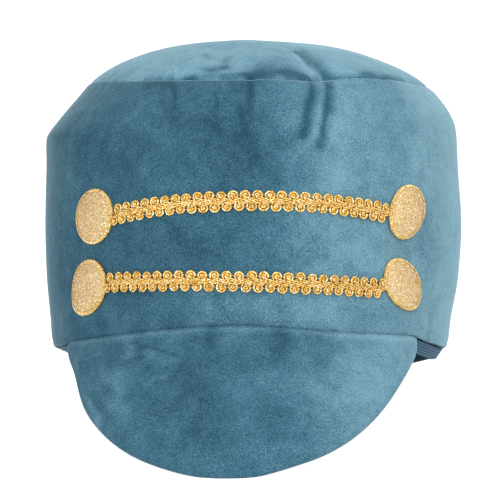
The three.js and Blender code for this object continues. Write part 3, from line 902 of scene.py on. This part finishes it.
def peak_over(side, share):
    """Points of the upper face and their tone: a seam, a roll with painted highlight, slow waves, a crease
    with painted shade, strokes.
    """
    from_seam = share * peak_lines(side)[1]
    roll = bell(from_seam - PEAK_ROLL["place"], PEAK_ROLL["half_width"])
    wander = [SHIFT * wave_field(side, share, waves) for waves in peak_shift_waves]
    place = np.stack([PEAK_FLAT[0] * side + wander[0], PEAK_FLAT[1] * share + wander[1]], axis=-1)
    calm = smoothstep(from_seam, *PEAK_WAVE_START) * (1 - share**PEAK_WAVE_FADE)
    slow = SLOW_DEPTH * wave_field(PEAK_WAVE_TURN * side, share, peak_waves) * calm
    sunk = PEAK_SEAM_DIP * bell(from_seam, SEAM_DIP_REACH) - PEAK_ROLL["height"] * roll + slow
    plain = np.stack([PEAK_FLAT[0] * side + 0 * share, PEAK_FLAT[1] * share + 0 * side], axis=-1)
    crease = brushed(plain, [PEAK_CREASE])
    points = peak_place(side, share, sunk + crease)
    pale = smoothstep(side, PEAK_LIT_SIDE["start"], PEAK_LIT_SIDE["full"])
    nap_and_painted_light = PEAK_TONE + PEAK_LIT_SIDE["strength"] * pale + PEAK_ROLL["tone"] * roll
    nap_and_painted_light = nap_and_painted_light + PEAK_SEAM_SHADE["tone"] * bell(from_seam, PEAK_SEAM_SHADE["reach"])
    return points, nap_and_painted_light + brushed(place, PEAK_NAP_AND_LIGHT_STROKES) + CREASE_PAINTED_SHADE * crease


# %% Peak
PEAK_COLUMNS = 280
PEAK_TOP_ROWS = 110
PEAK_EDGE_ROWS = 9
PEAK_UNDER_ROWS = 32
PEAK_CROWDING = 1.15


def peak_profile():
    """Rows over the top, round the edge and back underneath, and their tone with its painted light; columns
    are its lines.
    """
    side = np.sin(np.linspace(-math.pi / 2, math.pi / 2, PEAK_COLUMNS))[None, :]
    share = np.linspace(0, 1, PEAK_TOP_ROWS)[:, None] ** PEAK_CROWDING * np.ones_like(side)
    over, nap_and_painted_light = peak_over(side, share)
    turn = np.linspace(math.pi / 2, -math.pi / 2, PEAK_EDGE_ROWS + 2)[1:-1, None]
    half = PEAK_THICKNESS / 2
    seam, length, _, out, up = peak_lines(side)
    along = (length + half * np.cos(turn))[..., None]
    edge = seam + out * along + up * (half * np.sin(turn) - half)[..., None]
    under_share = np.linspace(1, 0, PEAK_UNDER_ROWS)[:, None] * np.ones_like(side)
    under = peak_place(side, under_share, PEAK_THICKNESS * np.ones_like(under_share))
    nap_and_painted_light_below = np.repeat(nap_and_painted_light[-1:], PEAK_EDGE_ROWS + PEAK_UNDER_ROWS, axis=0)
    return np.concatenate([over, edge, under]), np.concatenate([nap_and_painted_light, nap_and_painted_light_below])


peak_points, peak_nap_and_painted_light = peak_profile()
peak = make_piece("velvet_peak", "velvet", "peak", grid_part(peak_points, wrap_rows=True), (velvet,))
set_nap_and_painted_light(peak, peak_nap_and_painted_light)

# %% [markdown]
# ## Elastic
#
# A ribbed elastic runs inside the sides and back of the rim and peeps out below it. Its ribs are cords
# that lie along the tape. A bump would do from afar, but the lower edge shows the ribs in profile, so
# they are real: the tape's thickness follows a row of round arches.

# %% Elastic finish and tape
ELASTIC_SPAN = 128
ELASTIC_HEIGHT = 25
ELASTIC_DROP = 5
ELASTIC_THICKNESS = 1.6
ELASTIC_LEAN = 0.6
ELASTIC_SIDES = {"fade": 88, "end": 112, "drop": (3.0, 4.8), "lean": (2.0, 0.7), "bulge": (0.0, 2.6)}
BULGE_START = (-0.6, 0.3)
DEEPEST_RIM_PULL = 2
RIB_PITCH = 1.0
RIB_DEPTH = 0.4
RIB_STEPS = 5
ELASTIC_COLUMNS = 260
WRAP_SHARE = 0.3
# The colour darkens into the gaps between the ribs as painted shade and stays paler on their crests.
RIB_SHADE_STOPS = [(0.1, (0.006, 0.020, 0.032)), (0.6, (0.030, 0.080, 0.122)), (1.0, (0.050, 0.120, 0.176))]


def elastic_finish():
    """Painted shade in the gaps between the ribs and paler crests, with the fine wraps of thread across each
    rib.
    """
    material, tree, shader = new_finish("ribbed_elastic")
    wraps = thread_bands(tree, coordinate(tree, "UV"), scale=110.0, distortion=1.0)
    rib = add_node(tree, "ShaderNodeAttribute", {"attribute_name": "nap_and_painted_light"}).outputs["Fac"]
    set_colour(tree, shader, reckon(tree, "MULTIPLY_ADD", wraps, WRAP_SHARE, rib), RIB_SHADE_STOPS)
    set_sockets(shader, Roughness=0.75, Specular_IOR_Level=0.2)
    set_bump(tree, shader, wraps, strength=0.4, depth=0.2)
    return material


def elastic_face(angle, share, depth):
    """The wall's inside, carried on below the rim with a lean; near the peak it follows the rim."""
    turn = np.abs(np.mod(angle + math.pi, 2 * math.pi) - math.pi) / DEG
    at_side = 1 - smoothstep(turn, ELASTIC_SIDES["fade"], ELASTIC_SIDES["end"])
    on_left = np.sin(angle) < 0
    drop, lean, bulge = (np.where(on_left, *ELASTIC_SIDES[key]) for key in ("drop", "lean", "bulge"))
    hanging = rim_drop(angle, 0.0) * at_side
    level = ELASTIC_HEIGHT * share - ELASTIC_DROP - (drop - ELASTIC_DROP) * at_side - hanging
    below = -level - hanging
    inset = WALL + SEAM_GAP + DEEPEST_RIM_PULL * (1 - at_side) + depth
    inset = inset + (ELASTIC_LEAN + (lean - ELASTIC_LEAN) * at_side) * np.maximum(below, 0)
    inset = inset - bulge * at_side * smoothstep(below, *BULGE_START)
    point = crown_wall(angle, np.maximum(level, 0) / seam_height(angle)) + inset[..., None] * inward_at(angle)
    point[..., 2] = level
    return point


elastic_turn = (math.pi + ELASTIC_SPAN * DEG * np.linspace(-1, 1, ELASTIC_COLUMNS))[None, :]
rib_count = int(ELASTIC_HEIGHT / RIB_PITCH)
elastic_share = np.linspace(0, 1, rib_count * RIB_STEPS + 1)[:, None]
rib_arch = np.abs(np.sin(math.pi * rib_count * elastic_share))
spread = np.ones_like(elastic_turn)
rib_gap = RIB_DEPTH * (1 - rib_arch) * spread
elastic_points = np.concatenate([
    elastic_face(elastic_turn, elastic_share * spread, rib_gap),
    elastic_face(elastic_turn, elastic_share[::-1] * spread, ELASTIC_THICKNESS - rib_gap[::-1]),
])
elastic_band = make_piece(
    "ribbed_elastic_band",
    "elastic",
    "elastic_band",
    grid_part(elastic_points, wrap_rows=True),
    (elastic_finish(),),
)
# On the elastic the attribute holds the rib arches, so the painted shade follows the gaps.
set_nap_and_painted_light(elastic_band, np.concatenate([rib_arch * spread, rib_arch[::-1] * spread]))

# %% [markdown]
# ## Gold loop braid: tubes on the crown
#
# The trim lies on the wall and follows its curve. A curve object with a bevel could draw each thread,
# but hundreds of them are quicker as one array: a path is laid out flat, in millimetres along and across
# the strip, then put on the wall with a lift along its normal, and a ring of points round each of its
# points makes a tube.

# %% From the strip to the crown
DISC_COLUMNS = ("angle", "height", "wide", "tall", "lean")
DISC_PLACES = {
    "disc_upper_left": (-40.6, 50.2, 1.0, 1.0, 0.0),
    "disc_upper_right": (48.8, 51.9, 0.90, 1.0, 0.17),
    "disc_lower_left": (-44.0, 19.8, 1.0, 1.0, 0.11),
    "disc_lower_right": (49.2, 20.4, 1.0, 0.92, -0.25),
}
DISC_RADIUS = 24.5 / 2


def on_crown(angle, height, lift):
    """A point lifted off the smooth wall along its normal, at a height over the rim, and that normal."""
    share = height / seam_height(angle)
    step = 1e-3
    around = crown_wall(angle + step, share) - crown_wall(angle - step, share)
    upward = crown_wall(angle, share + step) - crown_wall(angle, share - step)
    normal = np.cross(around, upward)
    normal /= np.linalg.norm(normal, axis=-1, keepdims=True)
    return crown_wall(angle, share) + np.asarray(lift)[..., None] * normal, normal


def tubes(paths, normals, radius, sides):
    """A part with a ring of points round each point of each path, in the plane across the path."""
    tangent = np.gradient(paths, axis=1)
    tangent /= np.linalg.norm(tangent, axis=-1, keepdims=True)
    beside = np.cross(tangent, normals)
    beside /= np.linalg.norm(beside, axis=-1, keepdims=True)
    above = np.cross(beside, tangent)
    turn = np.linspace(0, 2 * math.pi, sides, endpoint=False)
    rings = np.cos(turn)[:, None] * beside[..., None, :] + np.sin(turn)[:, None] * above[..., None, :]
    points = paths[..., None, :] + radius * rings
    count, steps = paths.shape[:2]
    quads, uv, caps = grid_quads(steps, sides, wrap_columns=True)
    first = (np.arange(count) * steps * sides)[:, None, None]
    uv = np.broadcast_to(uv, (count, *uv.shape)).reshape(-1, 4, 2)
    return points.reshape(-1, 3), (quads + first).reshape(-1, 4), uv, (caps + first).reshape(-1, sides)


def join_parts(parts, kinds):
    """Several parts as one, and the kind of each of its quads and caps."""
    offsets = np.cumsum([0] + [len(part[0]) for part in parts])
    points, uv = (np.concatenate([part[place] for part in parts]) for place in (0, 2))
    quads = np.concatenate([part[1] + offset for part, offset in zip(parts, offsets)])
    caps = [cap for part, offset in zip(parts, offsets) for cap in (part[3] + offset).tolist()]
    kind_of = [np.repeat(kinds, [len(part[place]) for part in parts]) for place in (1, 3)]
    return (points, quads, uv, caps), np.concatenate(kind_of)


# %% [markdown]
# ## Gold loop braid: thread
#
# Metal thread is a flat foil wound on a core, so it is nearly all reflection: pale along the crest of
# each strand and deep amber down its sides, where it only sees other gold. In a white room a plain metal
# would look flat, so that light and shade are painted into the colour: a painted highlight along the
# crest and painted shade down the sides, from amber to pale gold with the way round the tube, which the
# UV map holds, and random painted glints along the strand. The winding is a fine wave along each strand.
# The loops are bright, the thread inside them is a darker amber as painted shade, and the core is
# darker.

# %% Gold thread finish
# The crest term and the glints paint highlight and shade into the colour.
THREAD_LEVEL = -1.25
PAINTED_CREST_SHARE = 0.38
WINDING_SHARE = 0.25
PAINTED_GLINT_SHARE = 2.7
PAINTED_GLINT_SIZE = 0.8


def thread_finish(name, stops):
    """Painted highlights and shade from the way round the tube, with the winding and random painted glints
    along it.
    """
    material, tree, shader = new_finish(name)
    where = coordinate(tree, "UV")
    around = add_node(tree, "ShaderNodeSeparateXYZ", Vector=where).outputs["X"]
    painted_crest = reckon(tree, "SINE", reckon(tree, "MULTIPLY", around, 2 * math.pi))
    winding = thread_bands(tree, where, scale=9.0, distortion=0.6, direction="DIAGONAL")
    painted_glint = noise(tree, coordinate(tree, "Object"), PAINTED_GLINT_SIZE)
    level = THREAD_LEVEL
    for value, share in ((painted_crest, PAINTED_CREST_SHARE), (winding, WINDING_SHARE), (painted_glint, PAINTED_GLINT_SHARE)):
        level = reckon(tree, "MULTIPLY_ADD", value, share, level)
    set_colour(tree, shader, level, stops)
    set_sockets(shader, Metallic=0.5, Roughness=0.32)
    set_bump(tree, shader, winding, strength=0.5, depth=0.15)
    return material


gold_thread = thread_finish("gold_thread", [
    (0.0, (0.30, 0.12, 0.010)),
    (0.4, (0.76, 0.41, 0.06)),
    (0.7, (0.94, 0.66, 0.18)),
    (1.0, (1.0, 0.95, 0.70)),
])
# A darker copy of the gold thread, as painted shade for the thread deep in each loop.
shaded_gold_thread = thread_finish("shaded_gold_thread", [
    (0.0, (0.26, 0.10, 0.006)),
    (0.5, (0.56, 0.26, 0.02)),
    (1.0, (0.82, 0.48, 0.07)),
])
core_thread = thread_finish("core_thread", [
    (0.0, (0.14, 0.048, 0.003)),
    (0.5, (0.40, 0.17, 0.014)),
    (1.0, (0.68, 0.37, 0.05)),
])

# %% [markdown]
# ## Gold loop braid: one loop
#
# Along both edges of the trim a thick cord stands in a row of horseshoes. Inside each, a thinner one
# curls in a swirl and leaves it along a slanting tail, which crosses the core in front of the next loop.
# A flat spiral of darker amber thread fills the loop, a copy of the gold as painted shade. Five cords
# run through the core, and along each edge a fine pale thread ties the loops together. One loop is
# worked out flat, and the row is that loop moved along the strip, with small random differences because
# no two are alike.

# %% Sizes of one loop
LOOP_CENTRE = 2.3
LOOP_HALF_WIDTH = 1.66
LOOP_HALF_HEIGHT = 1.55
LOOP_ARC = 112 * DEG
LOOP_LEG = 0.95
CORD_RADIUS = 0.42
SWIRL_RADIUS = 0.33
SWIRL_TURNS = 1.3
SWIRL_STEPS = 26
SWIRL_INNER = 0.2
SWIRL_OUTER = 0.78
SWIRL_EXIT = -110 * DEG
TAIL_END = (6.0, -0.1)
FILL_RADIUS = 0.45
FILL_STEPS = 20
FILL_TURN = 3 * math.pi
FILL_INNER = 0.3
FILL_GROWTH = 0.95
FILL_SHIFT = -0.1
FILL_LIFT = {"low": 0.3, "rise": 0.1}
HORSESHOE_STEPS = 34
HORSESHOE_LIFT = {"arc": 0.75, "leg_fall": 0.3}
SWIRL_LIFT = {"inner": 0.7, "rise": 0.4, "outer": 1.1}
TAIL_STEPS = 14
TAIL_LIFT = {"arch": 0.35, "fall": 0.5}
TWIN_SHIFT = (-0.25, -0.6, -0.2)


# %% Strands of one loop
def horseshoe():
    """An arc of an ellipse that runs on straight past both its ends: along, across and lift."""
    turn = np.linspace(-LOOP_ARC - LOOP_LEG, LOOP_ARC + LOOP_LEG, HORSESHOE_STEPS)
    bend = np.clip(turn, -LOOP_ARC, LOOP_ARC)
    leg = turn - bend
    x = LOOP_HALF_WIDTH * (np.sin(bend) + np.cos(bend) * leg)
    y = LOOP_CENTRE + LOOP_HALF_HEIGHT * (np.cos(bend) - np.sin(bend) * leg)
    return np.stack([x, y, HORSESHOE_LIFT["arc"] - HORSESHOE_LIFT["leg_fall"] * np.abs(leg)])


def swirl():
    """A spiral that opens to its exit, and from there a straight tail down across the core."""
    way = np.linspace(0, 1, SWIRL_STEPS)
    turn = SWIRL_EXIT - 2 * math.pi * SWIRL_TURNS * (1 - way)
    radius = SWIRL_INNER + (SWIRL_OUTER - SWIRL_INNER) * way
    x = radius * np.cos(turn)
    y = LOOP_CENTRE + radius * np.sin(turn)
    lift = SWIRL_LIFT["inner"] + SWIRL_LIFT["rise"] * way
    tail = np.linspace(0, 1, TAIL_STEPS)[1:]
    tail_lift = SWIRL_LIFT["outer"] + TAIL_LIFT["arch"] * np.sin(math.pi * tail) - TAIL_LIFT["fall"] * tail**2
    x = np.append(x, x[-1] + (TAIL_END[0] - x[-1]) * tail)
    y = np.append(y, y[-1] + (TAIL_END[1] - y[-1]) * tail)
    return np.stack([x, y, np.append(lift, tail_lift)])


def second_tail():
    """A twin beside the tail, a little lower."""
    return swirl()[:, SWIRL_STEPS - 1 :] + np.array(TWIN_SHIFT)[:, None]


def filling():
    """A flat spiral low in the loop, of thread that the light hardly reaches, coloured darker as painted
    shade.
    """
    way = np.linspace(0, 1, FILL_STEPS)
    turn = FILL_TURN * way
    radius = FILL_INNER + FILL_GROWTH * way
    y = LOOP_CENTRE + FILL_SHIFT + radius * np.sin(turn)
    return np.stack([radius * np.cos(turn), y, FILL_LIFT["low"] + FILL_LIFT["rise"] * (1 - way)])


# %% Rows of braid
BRAID_LOOPS = 26
BRAID_STRETCH = 0.045
UNDER_DISC = 0.3
LOOP_CHANGES = {"along": 0.15, "across": 0.12, "size": 0.05}
LOOP_STARTS = {1: 0.7, -1: 0.2}
CORE_LANES = {"lanes": (1.3, 0.65, 0.0, -0.65, -1.3), "wave": 0.25, "lift": 0.5, "short": 0.0}
TIE_LANES = {"lanes": (2.4, -2.4), "wave": 0.1, "lift": 0.6, "short": 0.035}
TIE_RADIUS = 0.1
LANE_STEPS = 10
LANE_PHASE = 3
DISC_DIP = {"start": -0.5, "full": 0.8, "amount": 0.8}
BEHIND = 0.3


def strip_ends(row):
    """The angles where a row of braid begins and ends, a little way under its discs."""
    inset = (DISC_RADIUS - UNDER_DISC) / TRIM_RADIUS
    return row["left"] * DEG + inset, row["right"] * DEG - inset


def lay_strip(row, along, across, lift):
    """A place along the strip, 0 to 1, on the crown: stretched in the middle, sunk under the discs."""
    start, end = strip_ends(row)
    angle = start + (end - start) * (along - BRAID_STRETCH * np.sin(2 * math.pi * along) / (2 * math.pi))
    arch = row["middle_height"] - (row["left_height"] + row["right_height"]) / 2
    rise = row["right_height"] - row["left_height"]
    base = row["left_height"] + rise * along + arch * 4 * along * (1 - along)
    beyond = np.maximum(start - angle, angle - end) * TRIM_RADIUS + UNDER_DISC
    sunk = 1 - DISC_DIP["amount"] * smoothstep(beyond, DISC_DIP["start"], DISC_DIP["full"])
    return on_crown(angle, base + across, SEAM_GAP + CORD_RADIUS + (lift - CORD_RADIUS) * sunk)


def braid_loops(row, strand, edge, changes):
    """The strand of one loop at every loop of an edge; the lower edge is its mirror, half a pitch on."""
    x, y, lift = strand
    if edge < 0:
        lift = lift - BEHIND * smoothstep(x, LOOP_HALF_WIDTH, 2 * LOOP_HALF_WIDTH)
    start, end = strip_ends(row)
    pitch = (end - start) * TRIM_RADIUS / BRAID_LOOPS
    loops = np.arange(BRAID_LOOPS)[:, None] + LOOP_STARTS[edge]
    size = row["size"] * (1 + LOOP_CHANGES["size"] * changes[0][:, None])
    along = (loops + (x * size + LOOP_CHANGES["along"] * changes[1][:, None]) / pitch) / BRAID_LOOPS
    across = edge * (y * size + LOOP_CHANGES["across"] * changes[2][:, None])
    return lay_strip(row, along, across, lift + 0 * along)


def braid_lanes(row, lanes, wave, lift, short):
    """Cords that run the whole length of the strip at a few distances across it, waving once a loop."""
    along = np.linspace(short, 1 - short, BRAID_LOOPS * LANE_STEPS)[None, :]
    lane = np.array(lanes)[:, None]
    across = lane + wave * np.sin(2 * math.pi * BRAID_LOOPS * along + LANE_PHASE * lane)
    return lay_strip(row, along + 0 * lane, across, lift + 0 * across)


# %% Pale thread finish
PALE_STOPS = [(0.3, (0.5, 0.45, 0.38)), (0.7, (0.8, 0.74, 0.64))]


def pale_thread_finish():
    """A matt thread, a little paler and darker by turns."""
    material, tree, shader = new_finish("pale_thread")
    set_colour(tree, shader, noise(tree, coordinate(tree, "Object"), size=1.0), PALE_STOPS)
    set_sockets(shader, Roughness=0.5)
    return material


pale_thread = pale_thread_finish()

# %% Braids
BRAID_FINISHES = (gold_thread, shaded_gold_thread, core_thread, pale_thread)
GOLD, SHADED_GOLD, CORE, PALE = range(len(BRAID_FINISHES))
LOOP_STRANDS = [
    {"shape": horseshoe, "radius": CORD_RADIUS, "sides": 7, "finish": GOLD},
    {"shape": swirl, "radius": SWIRL_RADIUS, "sides": 7, "finish": GOLD},
    {"shape": second_tail, "radius": SWIRL_RADIUS, "sides": 6, "finish": GOLD},
    {"shape": filling, "radius": FILL_RADIUS, "sides": 5, "finish": SHADED_GOLD},
]
LANE_STRANDS = [
    {"shape": CORE_LANES, "radius": CORD_RADIUS, "sides": 6, "finish": CORE},
    {"shape": TIE_LANES, "radius": TIE_RADIUS, "sides": 4, "finish": PALE},
]


def make_braid(name, row):
    """All the strands of a row of braid as one piece: the loops of both edges, then the lanes."""
    paths = []
    for edge in (1, -1):
        changes = chance.uniform(-1, 1, (3, BRAID_LOOPS))
        paths += [braid_loops(row, strand["shape"](), edge, changes) for strand in LOOP_STRANDS]
    paths += [braid_lanes(row, **strand["shape"]) for strand in LANE_STRANDS]
    strands = LOOP_STRANDS + LOOP_STRANDS + LANE_STRANDS
    parts = [tubes(*path, strand["radius"], strand["sides"]) for path, strand in zip(paths, strands)]
    part, kind_of = join_parts(parts, [strand["finish"] for strand in strands])
    make_piece(f"gold_{name}", "gold_braid", name, part, BRAID_FINISHES, kind_of)


ROW_COLUMNS = ("left", "right", "left_height", "middle_height", "right_height", "size")
BRAID_ROWS = {
    "braid_upper": (-40.6, 48.8, 49.2, 52.1, 49.8, 1.05),
    "braid_lower": (-44.0, 49.2, 21.0, 18.2, 17.6, 1.04),
}
for braid_name, braid_row in BRAID_ROWS.items():
    make_braid(braid_name, dict(zip(ROW_COLUMNS, braid_row)))

# %% [markdown]
# ## Glitter discs
#
# Each disc is a round of glitter cloth with a satin-stitched edge, which covers the end of a braid.
# Glitter is thousands of tiny mirrors, each at its own tilt. A noisy material alone stays dull, because
# no part of it faces the light squarely. So the face carries loose flakes, four-cornered and a quarter of
# a millimetre across, over a sandy ground, and the edge is a ring of short slanting stitches.


# %% Glitter finishes
def glitter_finish(name, stops, cell_size, metallic, roughness):
    """A random colour for each cell of about this size in millimetres, over a metal."""
    material, tree, shader = new_finish(name)
    where = coordinate(tree, "Object")
    cells = add_node(tree, "ShaderNodeTexVoronoi", Vector=where, Scale=1.0 / (cell_size * MM))
    speck = add_node(tree, "ShaderNodeSeparateColor", Color=cells.outputs["Color"]).outputs["Red"]
    set_colour(tree, shader, speck, stops)
    set_sockets(shader, Metallic=metallic, Roughness=roughness)
    set_bump(tree, shader, speck, strength=0.4, depth=0.1)
    return material


GROUND_STOPS = [(0.0, (0.52, 0.33, 0.11)), (0.6, (0.60, 0.41, 0.16)), (1.0, (0.74, 0.56, 0.28))]
FLAKE_STOPS = [(0.1, (0.60, 0.41, 0.16)), (0.65, (0.70, 0.50, 0.22)), (0.9, (1.0, 0.94, 0.82))]
glitter_ground = glitter_finish("glitter_ground", GROUND_STOPS, cell_size=0.45, metallic=0.2, roughness=0.5)
glitter_flakes = glitter_finish("glitter_flakes", FLAKE_STOPS, cell_size=0.4, metallic=0.6, roughness=0.3)
# The stitches use the thread finish, with its painted highlights, shade and glints.
edge_thread = thread_finish("edge_thread", [
    (0.0, (0.52, 0.30, 0.06)),
    (0.4, (0.78, 0.50, 0.13)),
    (0.7, (0.90, 0.67, 0.26)),
    (1.0, (1.0, 0.95, 0.78)),
])

# %% Sizes of a disc
DISC_EDGE = 0.9
DISC_DOME = 1.4
DISC_DOME_POWER = 2.3
DISC_RINGS = 22
DISC_COLUMNS_ROUND = 96
DISC_FIRST = 0.02
DISC_CROWDING = 0.8
DISC_BACK = (1.0, 0.98, 0.5, 0.02)
STITCHES = 150
STITCH_WIDTH = 1.25
STITCH_STEPS = 6
STITCH_RADIUS = 0.22
STITCH_SIDES = 6
STITCH_LIFT = 0.12
STITCH_ARCH = 0.1
STITCH_SLANT = 0.09
STITCH_CHANGE = 0.25
FLAKES = 4000
FLAKE_SIZE = 0.18
FLAKE_LIFT = 0.08
FLAKE_TILT = 0.27


# %% Parts of a disc
def disc_point(place, x, y, lift):
    """A point of the disc's plane, x round the crown and y up, made oval and laid on the wall."""
    angle = place["angle"] * DEG + (place["wide"] * x + place["lean"] * y) / TRIM_RADIUS
    return on_crown(angle, place["height"] + place["tall"] * y, SEAM_GAP + lift)


def disc_lift(share):
    """Height of the padded face: its edge, and a dome that falls off steeply near the edge."""
    return DISC_EDGE + DISC_DOME * (1 - share**DISC_DOME_POWER)


def disc_body(place):
    """Rings over a padded face, down a rounded edge, and a flat back."""
    face = np.linspace(DISC_FIRST, 1, DISC_RINGS) ** DISC_CROWDING
    share = np.append(face, DISC_BACK)[:, None]
    lift = np.where(np.arange(len(share))[:, None] < DISC_RINGS, disc_lift(share), 0.0)
    lift[DISC_RINGS] = DISC_EDGE / 2
    radius = share * (DISC_RADIUS - 2 * STITCH_RADIUS)
    turn = np.linspace(0, 2 * math.pi, DISC_COLUMNS_ROUND, endpoint=False)[None, :]
    points, _ = disc_point(place, radius * np.cos(turn), radius * np.sin(turn), lift + 0 * turn)
    return grid_part(points, wrap_columns=True)


def disc_stitches(place):
    """Each stitch arches from the face over the edge, slanted, and reaches in by its own amount."""
    start = np.linspace(0, 2 * math.pi, STITCHES, endpoint=False)[:, None]
    way = np.linspace(0, 1, STITCH_STEPS)[None, :]
    over = way * math.pi / 2
    width = STITCH_WIDTH + STITCH_CHANGE * chance.uniform(-1, 1, (STITCHES, 1))
    radius = DISC_RADIUS - STITCH_RADIUS - width * (1 - np.sin(over))
    turn = start + STITCH_SLANT * way
    lift = STITCH_LIFT + disc_lift(radius / DISC_RADIUS) * np.cos(over) + STITCH_ARCH * np.sin(math.pi * way)
    paths, normals = disc_point(place, radius * np.cos(turn), radius * np.sin(turn), lift)
    return tubes(paths, normals, STITCH_RADIUS, STITCH_SIDES)


def disc_flakes(place):
    """Small four-cornered flakes at random places on the face, each tilted by a random slope."""
    share = np.sqrt(chance.uniform(0, 1, FLAKES))
    turn = chance.uniform(0, 2 * math.pi, FLAKES)
    radius = share * (DISC_RADIUS - STITCH_WIDTH)
    x = (radius * np.cos(turn))[:, None]
    y = (radius * np.sin(turn))[:, None]
    spin = chance.uniform(0, 2 * math.pi, FLAKES)[:, None] + np.arange(4) * math.pi / 2
    corner_x = FLAKE_SIZE * np.cos(spin)
    corner_y = FLAKE_SIZE * np.sin(spin)
    slope = chance.normal(0, FLAKE_TILT, (2, FLAKES, 1))
    at = np.hypot(x + corner_x, y + corner_y) / (DISC_RADIUS - 2 * STITCH_RADIUS)
    lift = disc_lift(at) + FLAKE_LIFT + slope[0] * corner_x + slope[1] * corner_y
    points, _ = disc_point(place, x + corner_x, y + corner_y, lift)
    quads = np.arange(FLAKES * 4).reshape(-1, 4)
    return points.reshape(-1, 3), quads, np.zeros((FLAKES, 4, 2)), np.zeros((0, 3), int)


# %% Discs
DISC_FINISHES = (glitter_ground, edge_thread, glitter_flakes)


def make_disc(name, place):
    """The padded round, its stitches and its flakes as one piece."""
    parts = [disc_body(place), disc_stitches(place), disc_flakes(place)]
    part, kind_of = join_parts(parts, range(len(DISC_FINISHES)))
    make_piece(f"glitter_{name}", "gold_glitter", name, part, DISC_FINISHES, kind_of)


for disc_name, disc_place in DISC_PLACES.items():
    make_disc(disc_name, dict(zip(DISC_COLUMNS, disc_place)))

# %% [markdown]
# ## Floor and light
#
# The cap stands on a plain white floor in a white studio, with light from all sides, as in a catalogue. A
# floor that is lit from below, as a light table is, glows a little and swallows the shadows. A wide soft
# light from the upper right, a second from above and a lamp near the camera, which wakes the gold, do the
# rest.

# %% Floor
FLOOR_STOPS = [(0.3, (0.31, 0.31, 0.31)), (0.7, (0.33, 0.33, 0.33))]
FLOOR_BLOTCH = 400


def floor_finish():
    """A pale matt ground with hardly visible blotches, which glows a little."""
    material, tree, shader = new_finish("pale_floor")
    set_colour(tree, shader, noise(tree, coordinate(tree, "Object"), FLOOR_BLOTCH), FLOOR_STOPS)
    set_sockets(shader, Roughness=0.9, Specular_IOR_Level=0.0)
    set_sockets(shader, Emission_Color=(1.0, 1.0, 1.0, 1.0), Emission_Strength=0.92)
    return material


FLOOR_HALF = 9.0
floor_points = np.array([[x, y, 0.0] for x in (-FLOOR_HALF, FLOOR_HALF) for y in (-FLOOR_HALF, FLOOR_HALF)])
floor_mesh = bpy.data.meshes.new("floor")
floor_mesh.from_pydata(floor_points.tolist(), [], [[0, 2, 3, 1]])
floor_mesh.materials.append(floor_finish())
floor = bpy.data.objects.new("floor", floor_mesh)
bpy.context.scene.collection.objects.link(floor)

# %% Lamps and room
bpy.context.scene.view_settings.view_transform = "Standard"
world = bpy.data.worlds.new("white_studio")
bpy.context.scene.world = world
world.use_nodes = True
room_light = world.node_tree.nodes["Background"]
room_light.inputs["Color"].default_value = (1.0, 1.0, 1.0, 1.0)
room_light.inputs["Strength"].default_value = 0.55
LAMP_AIM = Vector((0.0, 0.0, 0.08))


def add_lamp(name, kind, place, strength, **settings):
    """A lamp at a place, turned to face the middle of the cap."""
    lamp = bpy.data.lights.new(name, kind)
    lamp.energy = strength
    for key, value in settings.items():
        setattr(lamp, key, value)
    holder = bpy.data.objects.new(name, lamp)
    holder.location = place
    holder.rotation_euler = (LAMP_AIM - Vector(place)).to_track_quat("-Z", "Y").to_euler()
    bpy.context.scene.collection.objects.link(holder)


add_lamp("right_light", "SUN", place=(0.9, -0.7, 1.1), strength=1.5, angle=50 * DEG)
add_lamp("top_light", "SUN", place=(0.1, 0.4, 1.4), strength=1.5, angle=60 * DEG)
add_lamp("camera_lamp", "AREA", place=(-0.32, -1.25, 0.5), strength=9.0, size=0.35)

# %% [markdown]
# ## Camera
#
# The picture is taken from in front, a little to the right and a little above, through a long lens, so
# that the cap hardly tapers. The camera is rolled a degree and a half, because the cap leans a little to
# one side.

# %% Camera
CAMERA_PLACE = Vector((0.08537, -0.97083, 0.22840))
CAMERA_AIM = Vector((-0.00089, 0.01285, 0.07051))
CAMERA_ROLL = -1.508
camera_data = bpy.data.cameras.new("camera")
camera_data.sensor_width = 36.0
camera_data.lens = 155.4
camera_data.clip_start = 0.01
camera = bpy.data.objects.new("camera", camera_data)
looking = (CAMERA_AIM - CAMERA_PLACE).to_track_quat("-Z", "Y").to_matrix()
rolled = looking @ Matrix.Rotation(CAMERA_ROLL * DEG, 3, "Z")
camera.matrix_world = Matrix.Translation(CAMERA_PLACE) @ rolled.to_4x4()
bpy.context.scene.collection.objects.link(camera)
bpy.context.scene.camera = camera
